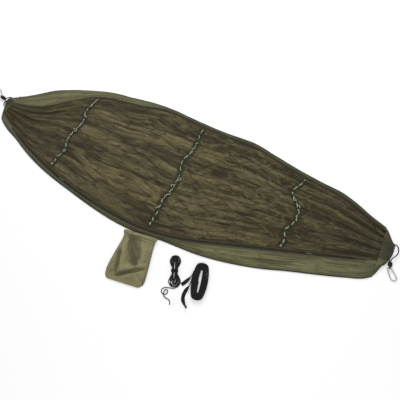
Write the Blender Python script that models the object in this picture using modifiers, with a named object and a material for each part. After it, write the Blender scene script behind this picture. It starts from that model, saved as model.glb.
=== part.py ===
"""A hammock tent laid out flat: cloth bed, zipped net, sack, end ropes, carabiners, spare cord and strap.

Metres, +Z up. The origin is on the flat underside of the bed, halfway between the two end knots.
+X runs from the narrow end to the blunt end, +Y away from the zipped side.
"""

import math
from typing import NamedTuple

import bmesh
import bpy
from mathutils import Matrix, Vector

# Clearances that every neighbour shares.
TOUCH_GAP = 0.0003
CUT_OVERRUN = 0.002

# The bed of the hammock.
END_TO_END = 2.62
FAR_REACH = 0.402
NEAR_REACH = 0.452
GATHER_INSET = 0.078
BED_CLOTH = 0.006
BAND_FOLD = 0.008
BAND_FOLD_SPREAD_SHARE = 0.32
HEM_WIDTH = 0.0045
HEM_HEIGHT = 0.005

# The net over the bed.
NET_CLOTH = 0.002
NET_FOLD = 0.011
NET_RIDGES = 6
SEAM_TAPE_WIDTH = 0.012
SEAM_TAPE_CLOTH = 0.0012

# The zip along the near side.
ZIP_LEFT_END_SHARE = -0.8473
ZIP_ARC_END_SHARE = -0.1145
ZIP_ARC_LOWEST_SHARE = -0.0221
ZIP_LINE_START_SHARE = 0.2290
ZIP_RIGHT_END_SHARE = 0.8931
ZIP_LOWEST_DEPTH_SHARE = 0.9358
ZIP_LEFT_DEPTH_SHARE = 0.3946
ZIP_LINE_DEPTH_SHARE = 0.7788
ZIP_RIGHT_DEPTH_SHARE = 0.1113
TEETH_SLOT = 0.0016
TEETH_WIDTH = 0.0024
TEETH_HEIGHT = 0.0024
TEETH_LIFT = 0.0015
ZIP_TAPE_WIDTH = 0.011
ZIP_TAPE_CLOTH = 0.0009
ZIP_TROUGH_HALF = 0.0068
ZIP_BORDER = 0.017
STOP_LENGTH = 0.006

# A zip slider and its pull tab.
SLIDER_LENGTH = 0.012
SLIDER_WIDTH = 0.010
SLIDER_PLATE = 0.0013
SLIDER_FOOT = 0.0009
SLIDER_WEB = 0.0009
BRIDGE_SPAN = 0.0052
BRIDGE_RISE = 0.0024
BRIDGE_BAR = 0.0013
BRIDGE_WIDTH = 0.0022
PULL_LENGTH = 0.026
PULL_WIDTH = 0.0075
PULL_THICKNESS = 0.0013
PULL_BAR = 0.0014
PULL_EYE_LENGTH = 0.0054
PULL_EYE_WIDTH = 0.0036
LEFT_SLIDER_SHARE = -0.4603
RIGHT_SLIDER_SHARE = 0.6809

# The three cross lines over the net.
CROSS_TAPE_WIDTH = 0.020
CROSS_TAPE_CLOTH = 0.0012
CROSS_FLAT_HALF = 0.022
LACING_CORD = 0.0055
KEEPER_LENGTH = 0.013
KEEPER_CLOTH = 0.0016
KEEPER_PITCH = 0.055
CROSS_LINE_EASE = 0.17
CROSS_LINE_START_SHARE = 0.035
CROSS_LINE_RUN_SHARE = 0.925

# The end ropes and knots.
ROPE = 0.006
ROPE_EYE_SPACE = 0.0068
KNOT_LENGTH = 0.028
KNOT_WALL = 0.0020
SLEEVE_HEIGHT = 0.016
SLEEVE_PLEAT = 0.004

# The carabiners.
WIRE = 0.0068
CARABINER_LENGTH = 0.0815
NARROW_BEND = 0.011
WIDE_BEND = 0.0165
GATE_WIRE = 0.0064
GATE_SLOT = 0.0032
TONGUE_THICKNESS = 0.0024
TONGUE_WIDTH = 0.0050
PIVOT_SETBACK = 0.0044
RIVET = 0.0022
RIVET_CLEARANCE = 0.0002
RIVET_STAND = 0.0004
SPRING_BORE = 0.0034
SPRING_WIRE = 0.0005
SPRING_COIL = 0.0022
SPRING_TURNS = 4
SPRING_LENGTH = 0.009

# The stuff sack.
SACK_LENGTH = 0.288
SACK_CLOTH = 0.0018
SACK_MOUTH_X = -0.006
SACK_MOUTH_SPACE = 0.0087
SACK_LEAN = 8.383
SACK_MOUTH_HALF = 0.098
SACK_MOUTH_RISE = 0.0085
SACK_BELLY_RISE = 0.0150
SACK_SIDES = 16
CASING_WIDTH = 0.020
CASING_CLOTH = 0.0011
CASING_CHANNEL = 0.0035
DRAWCORD = 0.0020
BINDING_WIDTH = 0.0030
BINDING_HEIGHT = 0.0060
JOIN_TAB_WIDTH = 0.030
JOIN_TAB_X = 0.060
CASING_START_SHARE = 0.006
JOIN_TAB_CLOTH = 0.0015

# The hank of thin cord.
HANK_CORD = 0.004
HANK_X = 0.260
HANK_SPACE = 0.1347
HANK_TURN = -66.0
HANK_HALF_LENGTH = 0.080
HANK_WAIST_HALF = 0.0036
HANK_UPPER_LOBE = 0.0225
HANK_LOWER_LOBE = 0.0270
HANK_STEP = 0.0058
HANK_LAYER_RISE = 0.0048
HANK_LAYERS = 4
HANK_LAYER_SHARES = (1.0, 0.42, 0.82, 0.38)
HANK_LAYER_SHIFTS = (0.0, 0.005, 0.0, -0.005)
HANK_TURNS_A_LAYER = 2
HANK_WRAP_WIDTH = 0.016
HANK_WRAP_CLOTH = 0.0022
HANK_WAIST_RUN = 0.066

# The webbing strap.
STRAP_WIDTH = 0.020
STRAP_THICKNESS = 0.0020
STRAP_X = 0.4075
STRAP_SPACE = 0.1454
STRAP_TURN = -76.0
STRAP_HALF_LENGTH = 0.102
STRAP_HALF_WIDTH = 0.0455
STRAP_STEP = 0.0038
STRAP_TURNS = 10

POINTS_A_TURN = 24

COLOURS = {
    "bed_cloth": ((0.178, 0.190, 0.078), 0.85, 0.0),
    "net_cloth": ((0.102, 0.088, 0.048), 0.90, 0.0),
    "dark_trim": ((0.028, 0.030, 0.020), 0.85, 0.0),
    "zip_black": ((0.012, 0.012, 0.012), 0.55, 0.0),
    "zip_metal": ((0.055, 0.053, 0.050), 0.40, 0.8),
    "green_tape": ((0.030, 0.060, 0.034), 0.85, 0.0),
    "flecked_cord": ((0.330, 0.385, 0.290), 0.80, 0.0),
    "black_cord": ((0.010, 0.010, 0.010), 0.80, 0.0),
    "carabiner_steel": ((0.480, 0.480, 0.480), 0.30, 1.0),
    "sack_cloth": ((0.230, 0.212, 0.104), 0.85, 0.0),
}

# Outlines, as shares of half the length and of the reach to each side.
FAR_EDGE_SHARES = (
    (-1.00, 0.06), (-0.94, 0.11), (-0.87, 0.27), (-0.80, 0.47), (-0.72, 0.62), (-0.62, 0.76),
    (-0.52, 0.87), (-0.42, 0.92), (-0.29, 0.985), (-0.18, 1.0), (-0.05, 0.972), (0.10, 0.955),
    (0.26, 0.972), (0.36, 0.91), (0.50, 0.82), (0.62, 0.765), (0.72, 0.73), (0.80, 0.645),
    (0.87, 0.545), (0.94, 0.465), (1.0, 0.36),
)
NEAR_EDGE_SHARES = (
    (-1.00, 0.03), (-0.94, 0.29), (-0.88, 0.41), (-0.80, 0.505), (-0.70, 0.635), (-0.60, 0.738),
    (-0.50, 0.813), (-0.40, 0.872), (-0.28, 0.938), (-0.16, 0.985), (-0.06, 0.996), (0.02, 0.975),
    (0.08, 0.955), (0.16, 0.942), (0.25, 0.925), (0.36, 0.872), (0.50, 0.765), (0.62, 0.638),
    (0.74, 0.52), (0.84, 0.414), (0.92, 0.31), (1.0, 0.08),
)
# Where the netting is sewn to the bed on the far side, as shares of the far edge's own reach.
SEAM_SHARES = (
    (-0.96, -0.30), (-0.90, -0.02), (-0.84, 0.14), (-0.79, 0.24), (-0.75, 0.38), (-0.70, 0.56),
    (-0.63, 0.74), (-0.57, 0.83), (-0.50, 0.855), (-0.40, 0.87), (-0.33, 0.875), (-0.27, 0.915),
    (-0.20, 0.945), (0.0, 0.95), (0.9, 0.92),
)
# How the folds along the exposed cloth rise and die out along the hammock.
BAND_WAVE_SHARES = (0.35, 1.0, 0.55, 0.9, 0.3, 0.75, 1.0, 0.45, 0.8, 0.5)
NET_WAVE_SHARES = (0.5, 1.0, 0.35, 0.8, 0.25, 0.95, 0.6, 0.3, 0.85, 0.45, 0.7)

# Each cross line's place along the hammock, and how its route wanders across the net.
CROSS_LINE_END_SHARES = ((-0.5672, -0.5454), (-0.0046, 0.0099), (0.5305, 0.5649))
CROSS_WANDER_SHARES = (
    (0.0, -0.010, -0.016, 0.006, -0.004, -0.012, 0.008, 0.004, 0.0),
    (0.0, 0.006, 0.012, -0.010, 0.008, 0.012, -0.006, 0.006, 0.0),
    (0.0, -0.012, -0.036, 0.004, 0.026, 0.018, -0.010, 0.004, 0.0),
)

# The rope routes, measured from the knot's middle: from its back through the end sleeve and home.
ROUTE_RIGHT_ROPE = (
    (0.0020, 0.0350, 0.0170), (0.0110, 0.0490, 0.0140), (0.0225, 0.0720, 0.0110),
    (0.0250, 0.0980, 0.0090), (0.0150, 0.1200, 0.0085), (-0.0030, 0.1240, 0.0085),
    (-0.0170, 0.1060, 0.0085), (-0.0270, 0.0760, 0.0085), (-0.0310, 0.0500, 0.0080),
    (-0.0250, 0.0360, 0.0072), (-0.0130, 0.0330, 0.0060),
)
ROUTE_LEFT_ROPE = (
    (0.0240, -0.0020, 0.0190), (0.0300, 0.0080, 0.0170), (0.0350, 0.0190, 0.0135),
    (0.0440, 0.0260, 0.0100), (0.0550, 0.0220, 0.0085), (0.0620, 0.0060, 0.0085),
    (0.0630, -0.0160, 0.0085), (0.0580, -0.0360, 0.0085), (0.0460, -0.0460, 0.0080),
    (0.0320, -0.0410, 0.0068), (0.0250, -0.0260, 0.0058), (0.0240, -0.0100, 0.0056),
)
# The hank's loose tail and the strap's two loose ends, measured from the middle of their coils.
ROUTE_HANK_TAIL = (
    (0.0200, -0.0920, 0.0023), (0.0020, -0.0980, 0.0023), (-0.0130, -0.1080, 0.0023),
    (-0.0170, -0.1240, 0.0023), (-0.0060, -0.1350, 0.0023), (0.0080, -0.1350, 0.0023),
    (0.0180, -0.1240, 0.0023), (0.0140, -0.1100, 0.0023), (0.0030, -0.1100, 0.0032),
    (0.0000, -0.1220, 0.0058), (0.0030, -0.1350, 0.0074), (0.0120, -0.1450, 0.0048),
    (0.0250, -0.1490, 0.0023), (0.0400, -0.1500, 0.0023), (0.0520, -0.1580, 0.0023),
    (0.0570, -0.1720, 0.0023),
)
ROUTE_STRAP_TAIL_LONG = (
    (-0.0398, -0.0306), (-0.0425, -0.0515), (-0.0465, -0.0760), (-0.0465, -0.1010),
    (-0.0385, -0.1240), (-0.0215, -0.1420), (-0.0015, -0.1555),
)
ROUTE_STRAP_TAIL_SHORT = (
    (-0.0575, -0.0060), (-0.0675, -0.0310), (-0.0805, -0.0560),
)
# How far the two loose ends turn down from their edge, by the share of their length.
LAY_STRAP_TAIL_LONG = ((0.0, 0.0), (0.16, 0.0), (0.42, 0.94), (0.68, 0.94), (0.88, 0.25), (1.0, 0.2))
LAY_STRAP_TAIL_SHORT = ((0.0, 0.0), (0.22, 0.0), (0.75, 0.94), (1.0, 0.94))


class EndPlan(NamedTuple):
    """How one end is laid: lengths from HALF_LENGTH or from the knot, turns in degrees."""

    knot_inset: float
    knot_y: float
    turn: float
    swing: float
    tip_inset: float
    tip_near: float
    tip_far: float
    tip_bulge: float
    tip_lean: float
    route: tuple


END_PLANS = {
    "right": EndPlan(0.009, -0.016, -80.0, 32.0, 0.013, -0.018, 0.128, 0.012, 0.026, ROUTE_RIGHT_ROPE),
    "left": EndPlan(-0.002, -0.006, 168.0, -22.0, 0.038, -0.034, 0.022, 0.008, 0.0, ROUTE_LEFT_ROPE),
}


def hermite(table, at):
    """A smooth value between the rows of a table of (place, value)."""
    if at <= table[0][0]:
        return table[0][1]
    if at >= table[-1][0]:
        return table[-1][1]
    index = max(i for i in range(len(table) - 1) if table[i][0] <= at)
    (x0, y0), (x1, y1) = table[index], table[index + 1]
    before = table[index - 1] if index else (2 * x0 - x1, 2 * y0 - y1)
    after = table[index + 2] if index + 2 < len(table) else (2 * x1 - x0, 2 * y1 - y0)
    slope0 = (y1 - before[1]) / (x1 - before[0])
    slope1 = (after[1] - y0) / (after[0] - x0)
    t = (at - x0) / (x1 - x0)
    span = x1 - x0
    return (
        (2 * t**3 - 3 * t**2 + 1) * y0 + (t**3 - 2 * t**2 + t) * span * slope0
        + (3 * t**2 - 2 * t**3) * y1 + (t**3 - t**2) * span * slope1
    )


def ease(share):
    """0 to 1 with a soft start and end."""
    share = min(max(share, 0.0), 1.0)
    return share * share * (3 - 2 * share)


def wave(shares, at):
    """Reads a list of heights spread evenly from 0 to 1."""
    table = [(i / (len(shares) - 1), value) for i, value in enumerate(shares)]
    return hermite(table, at)


def smooth_route(points, spacing, cyclic=False):
    """Points read at an even spacing from a smooth curve through a route."""
    rows = [Vector(p) for p in points]
    count = len(rows)
    fine = []
    for i in range(count if cyclic else count - 1):
        p1, p2 = rows[i], rows[(i + 1) % count]
        p0 = rows[(i - 1) % count] if cyclic or i else 2 * p1 - p2
        p3 = rows[(i + 2) % count] if cyclic or i + 2 < count else 2 * p2 - p1
        for step in range(12):
            t = step / 12
            fine.append(
                0.5 * (2 * p1 + (p2 - p0) * t + (2 * p0 - 5 * p1 + 4 * p2 - p3) * t * t
                       + (3 * p1 - 3 * p2 + p3 - p0) * t**3)
            )
    fine.append(rows[0].copy() if cyclic else rows[-1].copy())
    lengths = [0.0]
    for a, b in zip(fine, fine[1:]):
        lengths.append(lengths[-1] + (b - a).length)
    steps = max(2, round(lengths[-1] / spacing))
    out = []
    index = 0
    for k in range(steps if cyclic else steps + 1):
        want = lengths[-1] * k / steps
        while index < len(lengths) - 2 and lengths[index + 1] < want:
            index += 1
        t = (want - lengths[index]) / (lengths[index + 1] - lengths[index])
        out.append(fine[index].lerp(fine[index + 1], t))
    return out


def material(name):
    """One Principled material from the colour table."""
    found = bpy.data.materials.get(name)
    if found:
        return found
    colour, roughness, metallic = COLOURS[name]
    made = bpy.data.materials.new(name)
    made.use_nodes = True
    shader = made.node_tree.nodes["Principled BSDF"]
    shader.inputs["Base Color"].default_value = (*colour, 1.0)
    shader.inputs["Roughness"].default_value = roughness
    shader.inputs["Metallic"].default_value = metallic
    made.diffuse_color = (*colour, 1.0)
    return made


def start_scene():
    """Empties the scene and makes the two collections."""
    for item in list(bpy.data.objects):
        bpy.data.objects.remove(item, do_unlink=True)
    parts = bpy.data.collections.new("hammock_tent")
    cutters = bpy.data.collections.new("cutters")
    for group in (parts, cutters):
        bpy.context.scene.collection.children.link(group)
    return parts, cutters


PARTS, CUTTERS = start_scene()


def place(name, mesh, material_name, group=None, parent=None):
    """Adds a mesh to the scene as a named part."""
    made = bpy.data.objects.new(name, mesh)
    (group or PARTS).objects.link(made)
    made.data.materials.append(material(material_name))
    made.parent = parent
    return made


def to_mesh(name, bm):
    mesh = bpy.data.meshes.new(name)
    bm.to_mesh(mesh)
    bm.free()
    return mesh


def grid_slab(name, material_name, columns, rows, surface, bottom, parent=None):
    """A sheet on a reshaped grid: surface(i, j) gives its top, and bottom its flat underside."""
    bm = bmesh.new()
    bmesh.ops.create_grid(bm, x_segments=columns, y_segments=rows, size=1)
    for vert in bm.verts:
        i = round((vert.co.x + 1) / 2 * columns)
        j = round((vert.co.y + 1) / 2 * rows)
        vert.co = surface(i, j)
    border = [edge for edge in bm.edges if edge.is_boundary]
    skirt = bmesh.ops.extrude_edge_only(bm, edges=border)["geom"]
    lower = [item for item in skirt if isinstance(item, bmesh.types.BMVert)]
    for vert in lower:
        vert.co.z = bottom
    bmesh.ops.contextual_create(bm, geom=[e for e in bm.edges if e.is_boundary])
    bmesh.ops.recalc_face_normals(bm, faces=bm.faces)
    return place(name, to_mesh(name, bm), material_name, parent=parent)


def offset_line(line, offset):
    """A plan line moved sideways to its left by offset."""
    out = []
    for i, point in enumerate(line):
        before, after = line[max(i - 1, 0)], line[min(i + 1, len(line) - 1)]
        along = Vector((after[0] - before[0], after[1] - before[1])).normalized()
        out.append(Vector((point[0] - along.y * offset, point[1] + along.x * offset)))
    return out


def ribbon(name, material_name, line, low, high, bottom, thickness):
    """A flat band along a plan line, from one sideways offset to another."""
    sides = (offset_line(line, low), offset_line(line, high))
    return grid_slab(
        name, material_name, len(line) - 1, 1,
        lambda i, j: (*sides[j][i], bottom + thickness), bottom,
    )


def tube(name, material_name, points, diameter, cyclic=False, resolution=2, group=None):
    """A round cord or wire on a poly spline, as a curve with filled caps."""
    curve = bpy.data.curves.new(name, "CURVE")
    curve.dimensions = "3D"
    curve.bevel_depth = diameter / 2
    curve.bevel_resolution = resolution
    curve.render_resolution_u = 0
    curve.use_fill_caps = True
    spline = curve.splines.new("POLY")
    spline.points.add(len(points) - 1)
    for spot, point in zip(spline.points, points):
        spot.co = (*point, 1.0)
    spline.use_cyclic_u = cyclic
    made = bpy.data.objects.new(name, curve)
    (group or PARTS).objects.link(made)
    made.data.materials.append(material(material_name))
    return made


def solid_from_curve(made):
    """The curve as a closed mesh object, in the same place."""
    bpy.context.view_layer.update()
    seen = made.evaluated_get(bpy.context.evaluated_depsgraph_get())
    mesh = bpy.data.meshes.new_from_object(seen)
    bm = bmesh.new()
    bm.from_mesh(mesh)
    bmesh.ops.remove_doubles(bm, verts=bm.verts, dist=CUT_OVERRUN / 1000)
    bmesh.ops.recalc_face_normals(bm, faces=bm.faces)
    bm.to_mesh(mesh)
    bm.free()
    name, matrix, group = made.name, made.matrix_world.copy(), made.users_collection[0]
    bpy.data.objects.remove(made, do_unlink=True)
    solid = bpy.data.objects.new(name, mesh)
    solid.matrix_world = matrix
    group.objects.link(solid)
    return solid


def as_cutter(made):
    """Marks an object as a cutter that is not a part."""
    made.hide_render = True
    made.display_type = "WIRE"
    return made


def boolean(target, other, operation):
    """Adds a live Boolean with a cutter that stays out of the parts."""
    modifier = target.modifiers.new(operation.lower(), "BOOLEAN")
    modifier.operation = operation
    modifier.solver = "EXACT"
    modifier.object = as_cutter(other)
    return target


def box(name, material_name, size, centre, group=None, parent=None):
    """A box of a given size about a centre."""
    bm = bmesh.new()
    bmesh.ops.create_cube(bm, size=1)
    bmesh.ops.scale(bm, vec=size, verts=bm.verts)
    bmesh.ops.translate(bm, vec=centre, verts=bm.verts)
    return place(name, to_mesh(name, bm), material_name, group, parent)


def cylinder(name, material_name, diameter, length, centre, group=None, parent=None, sides=16):
    """A cylinder along Z about a centre."""
    bm = bmesh.new()
    bmesh.ops.create_cone(
        bm, cap_ends=True, segments=sides, radius1=diameter / 2, radius2=diameter / 2, depth=length
    )
    bmesh.ops.translate(bm, vec=centre, verts=bm.verts)
    return place(name, to_mesh(name, bm), material_name, group, parent)


def loft(name, material_name, rings, closed_path=False, parent=None):
    """A closed skin over rings of points of equal count, with end caps unless the path closes."""
    bm = bmesh.new()
    sides = len(rings[0])
    loops = []
    for ring in rings:
        verts = [bm.verts.new(point) for point in ring]
        loops.append([bm.edges.new((verts[k], verts[(k + 1) % sides])) for k in range(sides)])
    pairs = list(zip(loops, loops[1:]))
    if closed_path:
        pairs.append((loops[-1], loops[0]))
    for first, second in pairs:
        bmesh.ops.bridge_loops(bm, edges=first + second)
    if not closed_path:
        bmesh.ops.contextual_create(bm, geom=loops[0])
        bmesh.ops.contextual_create(bm, geom=loops[-1])
    bmesh.ops.recalc_face_normals(bm, faces=bm.faces)
    return place(name, to_mesh(name, bm), material_name, parent=parent)


HALF_LENGTH = END_TO_END / 2
CLOTH_END = HALF_LENGTH - GATHER_INSET
ZIP_LEFT_END, ZIP_RIGHT_END = ZIP_LEFT_END_SHARE * HALF_LENGTH, ZIP_RIGHT_END_SHARE * HALF_LENGTH
ZIP_ARC_END, ZIP_ARC_LOWEST = ZIP_ARC_END_SHARE * HALF_LENGTH, ZIP_ARC_LOWEST_SHARE * HALF_LENGTH
ZIP_ARC_SAG = (ZIP_LOWEST_DEPTH_SHARE - ZIP_LEFT_DEPTH_SHARE) * NEAR_REACH
ZIP_ARC_RADIUS = ((ZIP_LEFT_END - ZIP_ARC_LOWEST) ** 2 + ZIP_ARC_SAG**2) / (2 * ZIP_ARC_SAG)
ZIP_ARC_TOP = ZIP_ARC_RADIUS - ZIP_LOWEST_DEPTH_SHARE * NEAR_REACH
ZIP_LINE_START = ZIP_LINE_START_SHARE * HALF_LENGTH
ZIP_LINE_START_Y = -ZIP_LINE_DEPTH_SHARE * NEAR_REACH
ZIP_LINE_SLOPE = (-ZIP_RIGHT_DEPTH_SHARE * NEAR_REACH - ZIP_LINE_START_Y) / (ZIP_RIGHT_END - ZIP_LINE_START)
CROSS_LINE_ENDS = tuple((far * HALF_LENGTH, near * HALF_LENGTH) for far, near in CROSS_LINE_END_SHARES)
TAPE_SEAT = BED_CLOTH + TOUCH_GAP + NET_CLOTH
TAPE_BOTTOM = TAPE_SEAT + TOUCH_GAP
TAPE_TOP = TAPE_BOTTOM + ZIP_TAPE_CLOTH
TEETH_BOTTOM = BED_CLOTH + TEETH_LIFT
TEETH_TOP = TEETH_BOTTOM + TEETH_HEIGHT
TEETH_INNER = TEETH_SLOT / 2
TEETH_OUTER = TEETH_INNER + TEETH_WIDTH
TAPE_INNER = TEETH_OUTER + TOUCH_GAP
TAPE_OUTER = TAPE_INNER + ZIP_TAPE_WIDTH


def far_edge(x):
    return FAR_REACH * hermite(FAR_EDGE_SHARES, x / HALF_LENGTH)


def near_edge(x):
    return -NEAR_REACH * hermite(NEAR_EDGE_SHARES, x / HALF_LENGTH)


def seam_edge(x):
    return far_edge(x) * hermite(SEAM_SHARES, x / HALF_LENGTH)


def zip_line(x):
    """The zip's depth: an arc on the narrow side, a straight run on the blunt side, eased together."""
    def arc(at):
        return ZIP_ARC_TOP - math.sqrt(ZIP_ARC_RADIUS**2 - (at - ZIP_ARC_LOWEST) ** 2)

    if x <= ZIP_ARC_END:
        return arc(x)
    if x >= ZIP_LINE_START:
        return ZIP_LINE_START_Y + ZIP_LINE_SLOPE * (x - ZIP_LINE_START)
    span = ZIP_LINE_START - ZIP_ARC_END
    t = (x - ZIP_ARC_END) / span
    y0, y1 = arc(ZIP_ARC_END), ZIP_LINE_START_Y
    slope0 = (ZIP_ARC_END - ZIP_ARC_LOWEST) / (ZIP_ARC_TOP - y0)
    return (
        (2 * t**3 - 3 * t**2 + 1) * y0 + (t**3 - 2 * t**2 + t) * span * slope0
        + (3 * t**2 - 2 * t**3) * y1 + (t**3 - t**2) * span * ZIP_LINE_SLOPE
    )


def stations():
    """Places along the hammock, closer together where a cross line needs flat net."""
    places = set()
    steps = 24
    for i in range(steps + 1):
        places.add(-CLOTH_END + 2 * CLOTH_END * i / steps)
    for far_x, near_x in CROSS_LINE_ENDS:
        middle = (far_x + near_x) / 2
        near = {p for p in places if abs(p - middle) < 2.2 * CROSS_FLAT_HALF}
        places -= near
        places.update((middle - 2.4 * CROSS_FLAT_HALF, middle - CROSS_FLAT_HALF, middle))
        places.update((middle + CROSS_FLAT_HALF, middle + 2.4 * CROSS_FLAT_HALF))
    return sorted(places)


STATIONS = stations()


def cross_shift(x, v):
    """How far a cross line's wandering moves the net's grid sideways, v running from zip to seam."""
    total = 0.0
    for (far_x, near_x), wander in zip(CROSS_LINE_ENDS, CROSS_WANDER_SHARES):
        middle, lean = (far_x + near_x) / 2, far_x - near_x
        near = abs(x - middle) - 2.4 * CROSS_FLAT_HALF
        weight = 1 - ease(near / CROSS_LINE_EASE)
        total += weight * (lean * (v - 0.5) + wave(wander, 1 - v) * HALF_LENGTH)
    return total


def net_point(x, v):
    """The net's plan position at a station and a share from its zip edge to its seam."""
    near = zip_line(x) + ZIP_TROUGH_HALF + TOUCH_GAP
    far = seam_edge(x) - TOUCH_GAP
    y = near + (far - near) * v
    return x + cross_shift(x, v) * math.sin(math.pi * v) ** 0.5 if 0 < v < 1 else x, y


def flatness(x):
    """0 on a cross line, 1 away from it."""
    least = min(abs(x - (a + b) / 2) for a, b in CROSS_LINE_ENDS)
    return ease((least - 1.1 * CROSS_FLAT_HALF) / (1.2 * CROSS_FLAT_HALF))


def end_fade(x):
    return ease((CLOTH_END - abs(x)) / (GATHER_INSET * 2))


def build_bed():
    """The bed cloth: flat below, flat under the net, folded where it shows, with a trough for the zip."""
    half = ZIP_TROUGH_HALF

    def band(x, low, high, share, ridge):
        """A fold in a strip of open cloth, no taller than the strip lets it be."""
        at = (x + HALF_LENGTH) / END_TO_END
        rise = min(BAND_FOLD, BAND_FOLD_SPREAD_SHARE * (high - low))
        lift = rise * wave(BAND_WAVE_SHARES, (at + ridge / 3) % 1)
        return low + (high - low) * share, TAPE_SEAT - TOUCH_GAP + lift

    def row(x, j):
        zip_y, near, far, seam = zip_line(x), near_edge(x), far_edge(x), seam_edge(x)
        border = zip_y - ZIP_BORDER
        if j == 0:
            return near, BED_CLOTH
        if j in (1, 2, 3, 4):
            y, z = band(x, near, border, (0.2, 0.42, 0.62, 0.82)[j - 1], j)
            return y, z if j % 2 else TAPE_SEAT - TOUCH_GAP
        if j in (5, 6, 7):
            return (border, zip_y - half - TOUCH_GAP, zip_y - half)[j - 5], (TAPE_SEAT, TAPE_SEAT, BED_CLOTH)[j - 5]
        if j == 8:
            return zip_y + half, BED_CLOTH
        if j == 9:
            return seam, BED_CLOTH
        if j in (10, 11, 12):
            y, z = band(x, seam + SEAM_TAPE_WIDTH / 2, far, (0.15, 0.45, 0.75)[j - 10], j)
            return y, z if j == 11 else BED_CLOTH
        return far, BED_CLOTH

    def surface(i, j):
        x = STATIONS[i]
        y, z = row(x, j)
        return x, y, BED_CLOTH + (z - BED_CLOTH) * (1 if 5 <= j <= 7 else end_fade(x))

    grid_slab("bed_panel", "bed_cloth", len(STATIONS) - 1, 13, surface, 0.0)


def build_net():
    """The netting over the bed: flat where tapes are sewn on it, long folds between."""
    flat_rows = 2
    rows = 2 * NET_RIDGES + 2 * flat_rows
    margin = ZIP_TAPE_WIDTH

    def surface(i, j):
        x = STATIONS[i]
        near = zip_line(x) + ZIP_TROUGH_HALF + TOUCH_GAP
        width = seam_edge(x) - TOUCH_GAP - near
        edge = min(margin / width, 0.2)
        if j < flat_rows:
            v = edge * j / (flat_rows - 1)
        elif j > rows - flat_rows:
            v = 1 - edge * (rows - j) / (flat_rows - 1)
        else:
            v = edge + (1 - 2 * edge) * (j - flat_rows + 1) / (rows - 2 * flat_rows + 2)
        plan_x, y = net_point(x, v)
        inner = flat_rows <= j <= rows - flat_rows
        ridge = inner and (j - flat_rows) % 2 == 0
        at = (x + HALF_LENGTH) / END_TO_END
        height = wave(NET_WAVE_SHARES, (at * 1.3 + j * 0.37) % 1) if ridge else 0.0
        rise = min(NET_FOLD, 0.5 * width / rows) * height * flatness(x) * end_fade(x)
        return plan_x, y, TAPE_SEAT + rise

    grid_slab("net_panel", "net_cloth", len(STATIONS) - 1, rows, surface, BED_CLOTH + TOUCH_GAP)


def build_hems():
    """The bound outer edges, one along each side of the bed."""
    far = [(x, far_edge(x)) for x in STATIONS]
    near = [(x, near_edge(x)) for x in STATIONS]
    ribbon("bed_hem_far", "dark_trim", far, TOUCH_GAP, TOUCH_GAP + HEM_WIDTH, 0.0, HEM_HEIGHT)
    ribbon("bed_hem_near", "dark_trim", near, -TOUCH_GAP - HEM_WIDTH, -TOUCH_GAP, 0.0, HEM_HEIGHT)


def build_seam_tape():
    """The tape that closes the far side, sewn over the net's edge."""
    line = [(x, seam_edge(x)) for x in STATIONS if abs(x) < CLOTH_END - GATHER_INSET / 4]
    ribbon(
        "net_seam_tape", "dark_trim", line, -SEAM_TAPE_WIDTH / 2, SEAM_TAPE_WIDTH / 2,
        TAPE_SEAT + TOUCH_GAP, SEAM_TAPE_CLOTH,
    )


def zip_stations():
    """Points of the zip's centre line, from stop to stop."""
    count = 34
    xs = [ZIP_LEFT_END + (ZIP_RIGHT_END - ZIP_LEFT_END) * i / count for i in range(count + 1)]
    kept = [x for x in xs if x <= ZIP_LINE_START]
    return [(x, zip_line(x)) for x in kept + [ZIP_LINE_START, ZIP_RIGHT_END]]


def zip_frame(x):
    """A point of the zip line with its direction."""
    reach = SLIDER_LENGTH / 2
    before, after = Vector((x - reach, zip_line(x - reach))), Vector((x + reach, zip_line(x + reach)))
    along = (after - before).normalized()
    return Vector((x, zip_line(x), 0.0)), math.atan2(along.y, along.x)


def build_zip():
    """Two tapes, two rows of teeth with the slider's slot between, and a stop at each end."""
    line = zip_stations()
    for name, side in (("zip_tape_net_side", 1), ("zip_tape_bed_side", -1)):
        low, high = sorted((side * TAPE_INNER, side * TAPE_OUTER))
        ribbon(name, "zip_black", line, low, high, TAPE_BOTTOM, ZIP_TAPE_CLOTH)
    for name, side in (("zip_teeth_net_side", 1), ("zip_teeth_bed_side", -1)):
        low, high = sorted((side * TEETH_INNER, side * TEETH_OUTER))
        ribbon(name, "zip_metal", line, low, high, TEETH_BOTTOM, TEETH_HEIGHT)
    for name, x, side in (("zip_stop_left", ZIP_LEFT_END, -1), ("zip_stop_right", ZIP_RIGHT_END, 1)):
        point, turn = zip_frame(x)
        stop = box(
            name, "zip_metal", (STOP_LENGTH, 2 * TEETH_OUTER, TEETH_TOP - BED_CLOTH - TOUCH_GAP),
            (side * (STOP_LENGTH / 2 + 2 * TOUCH_GAP), 0, (TEETH_TOP + BED_CLOTH + TOUCH_GAP) / 2),
        )
        stop.location = point
        stop.rotation_euler = (0, 0, turn)


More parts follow.
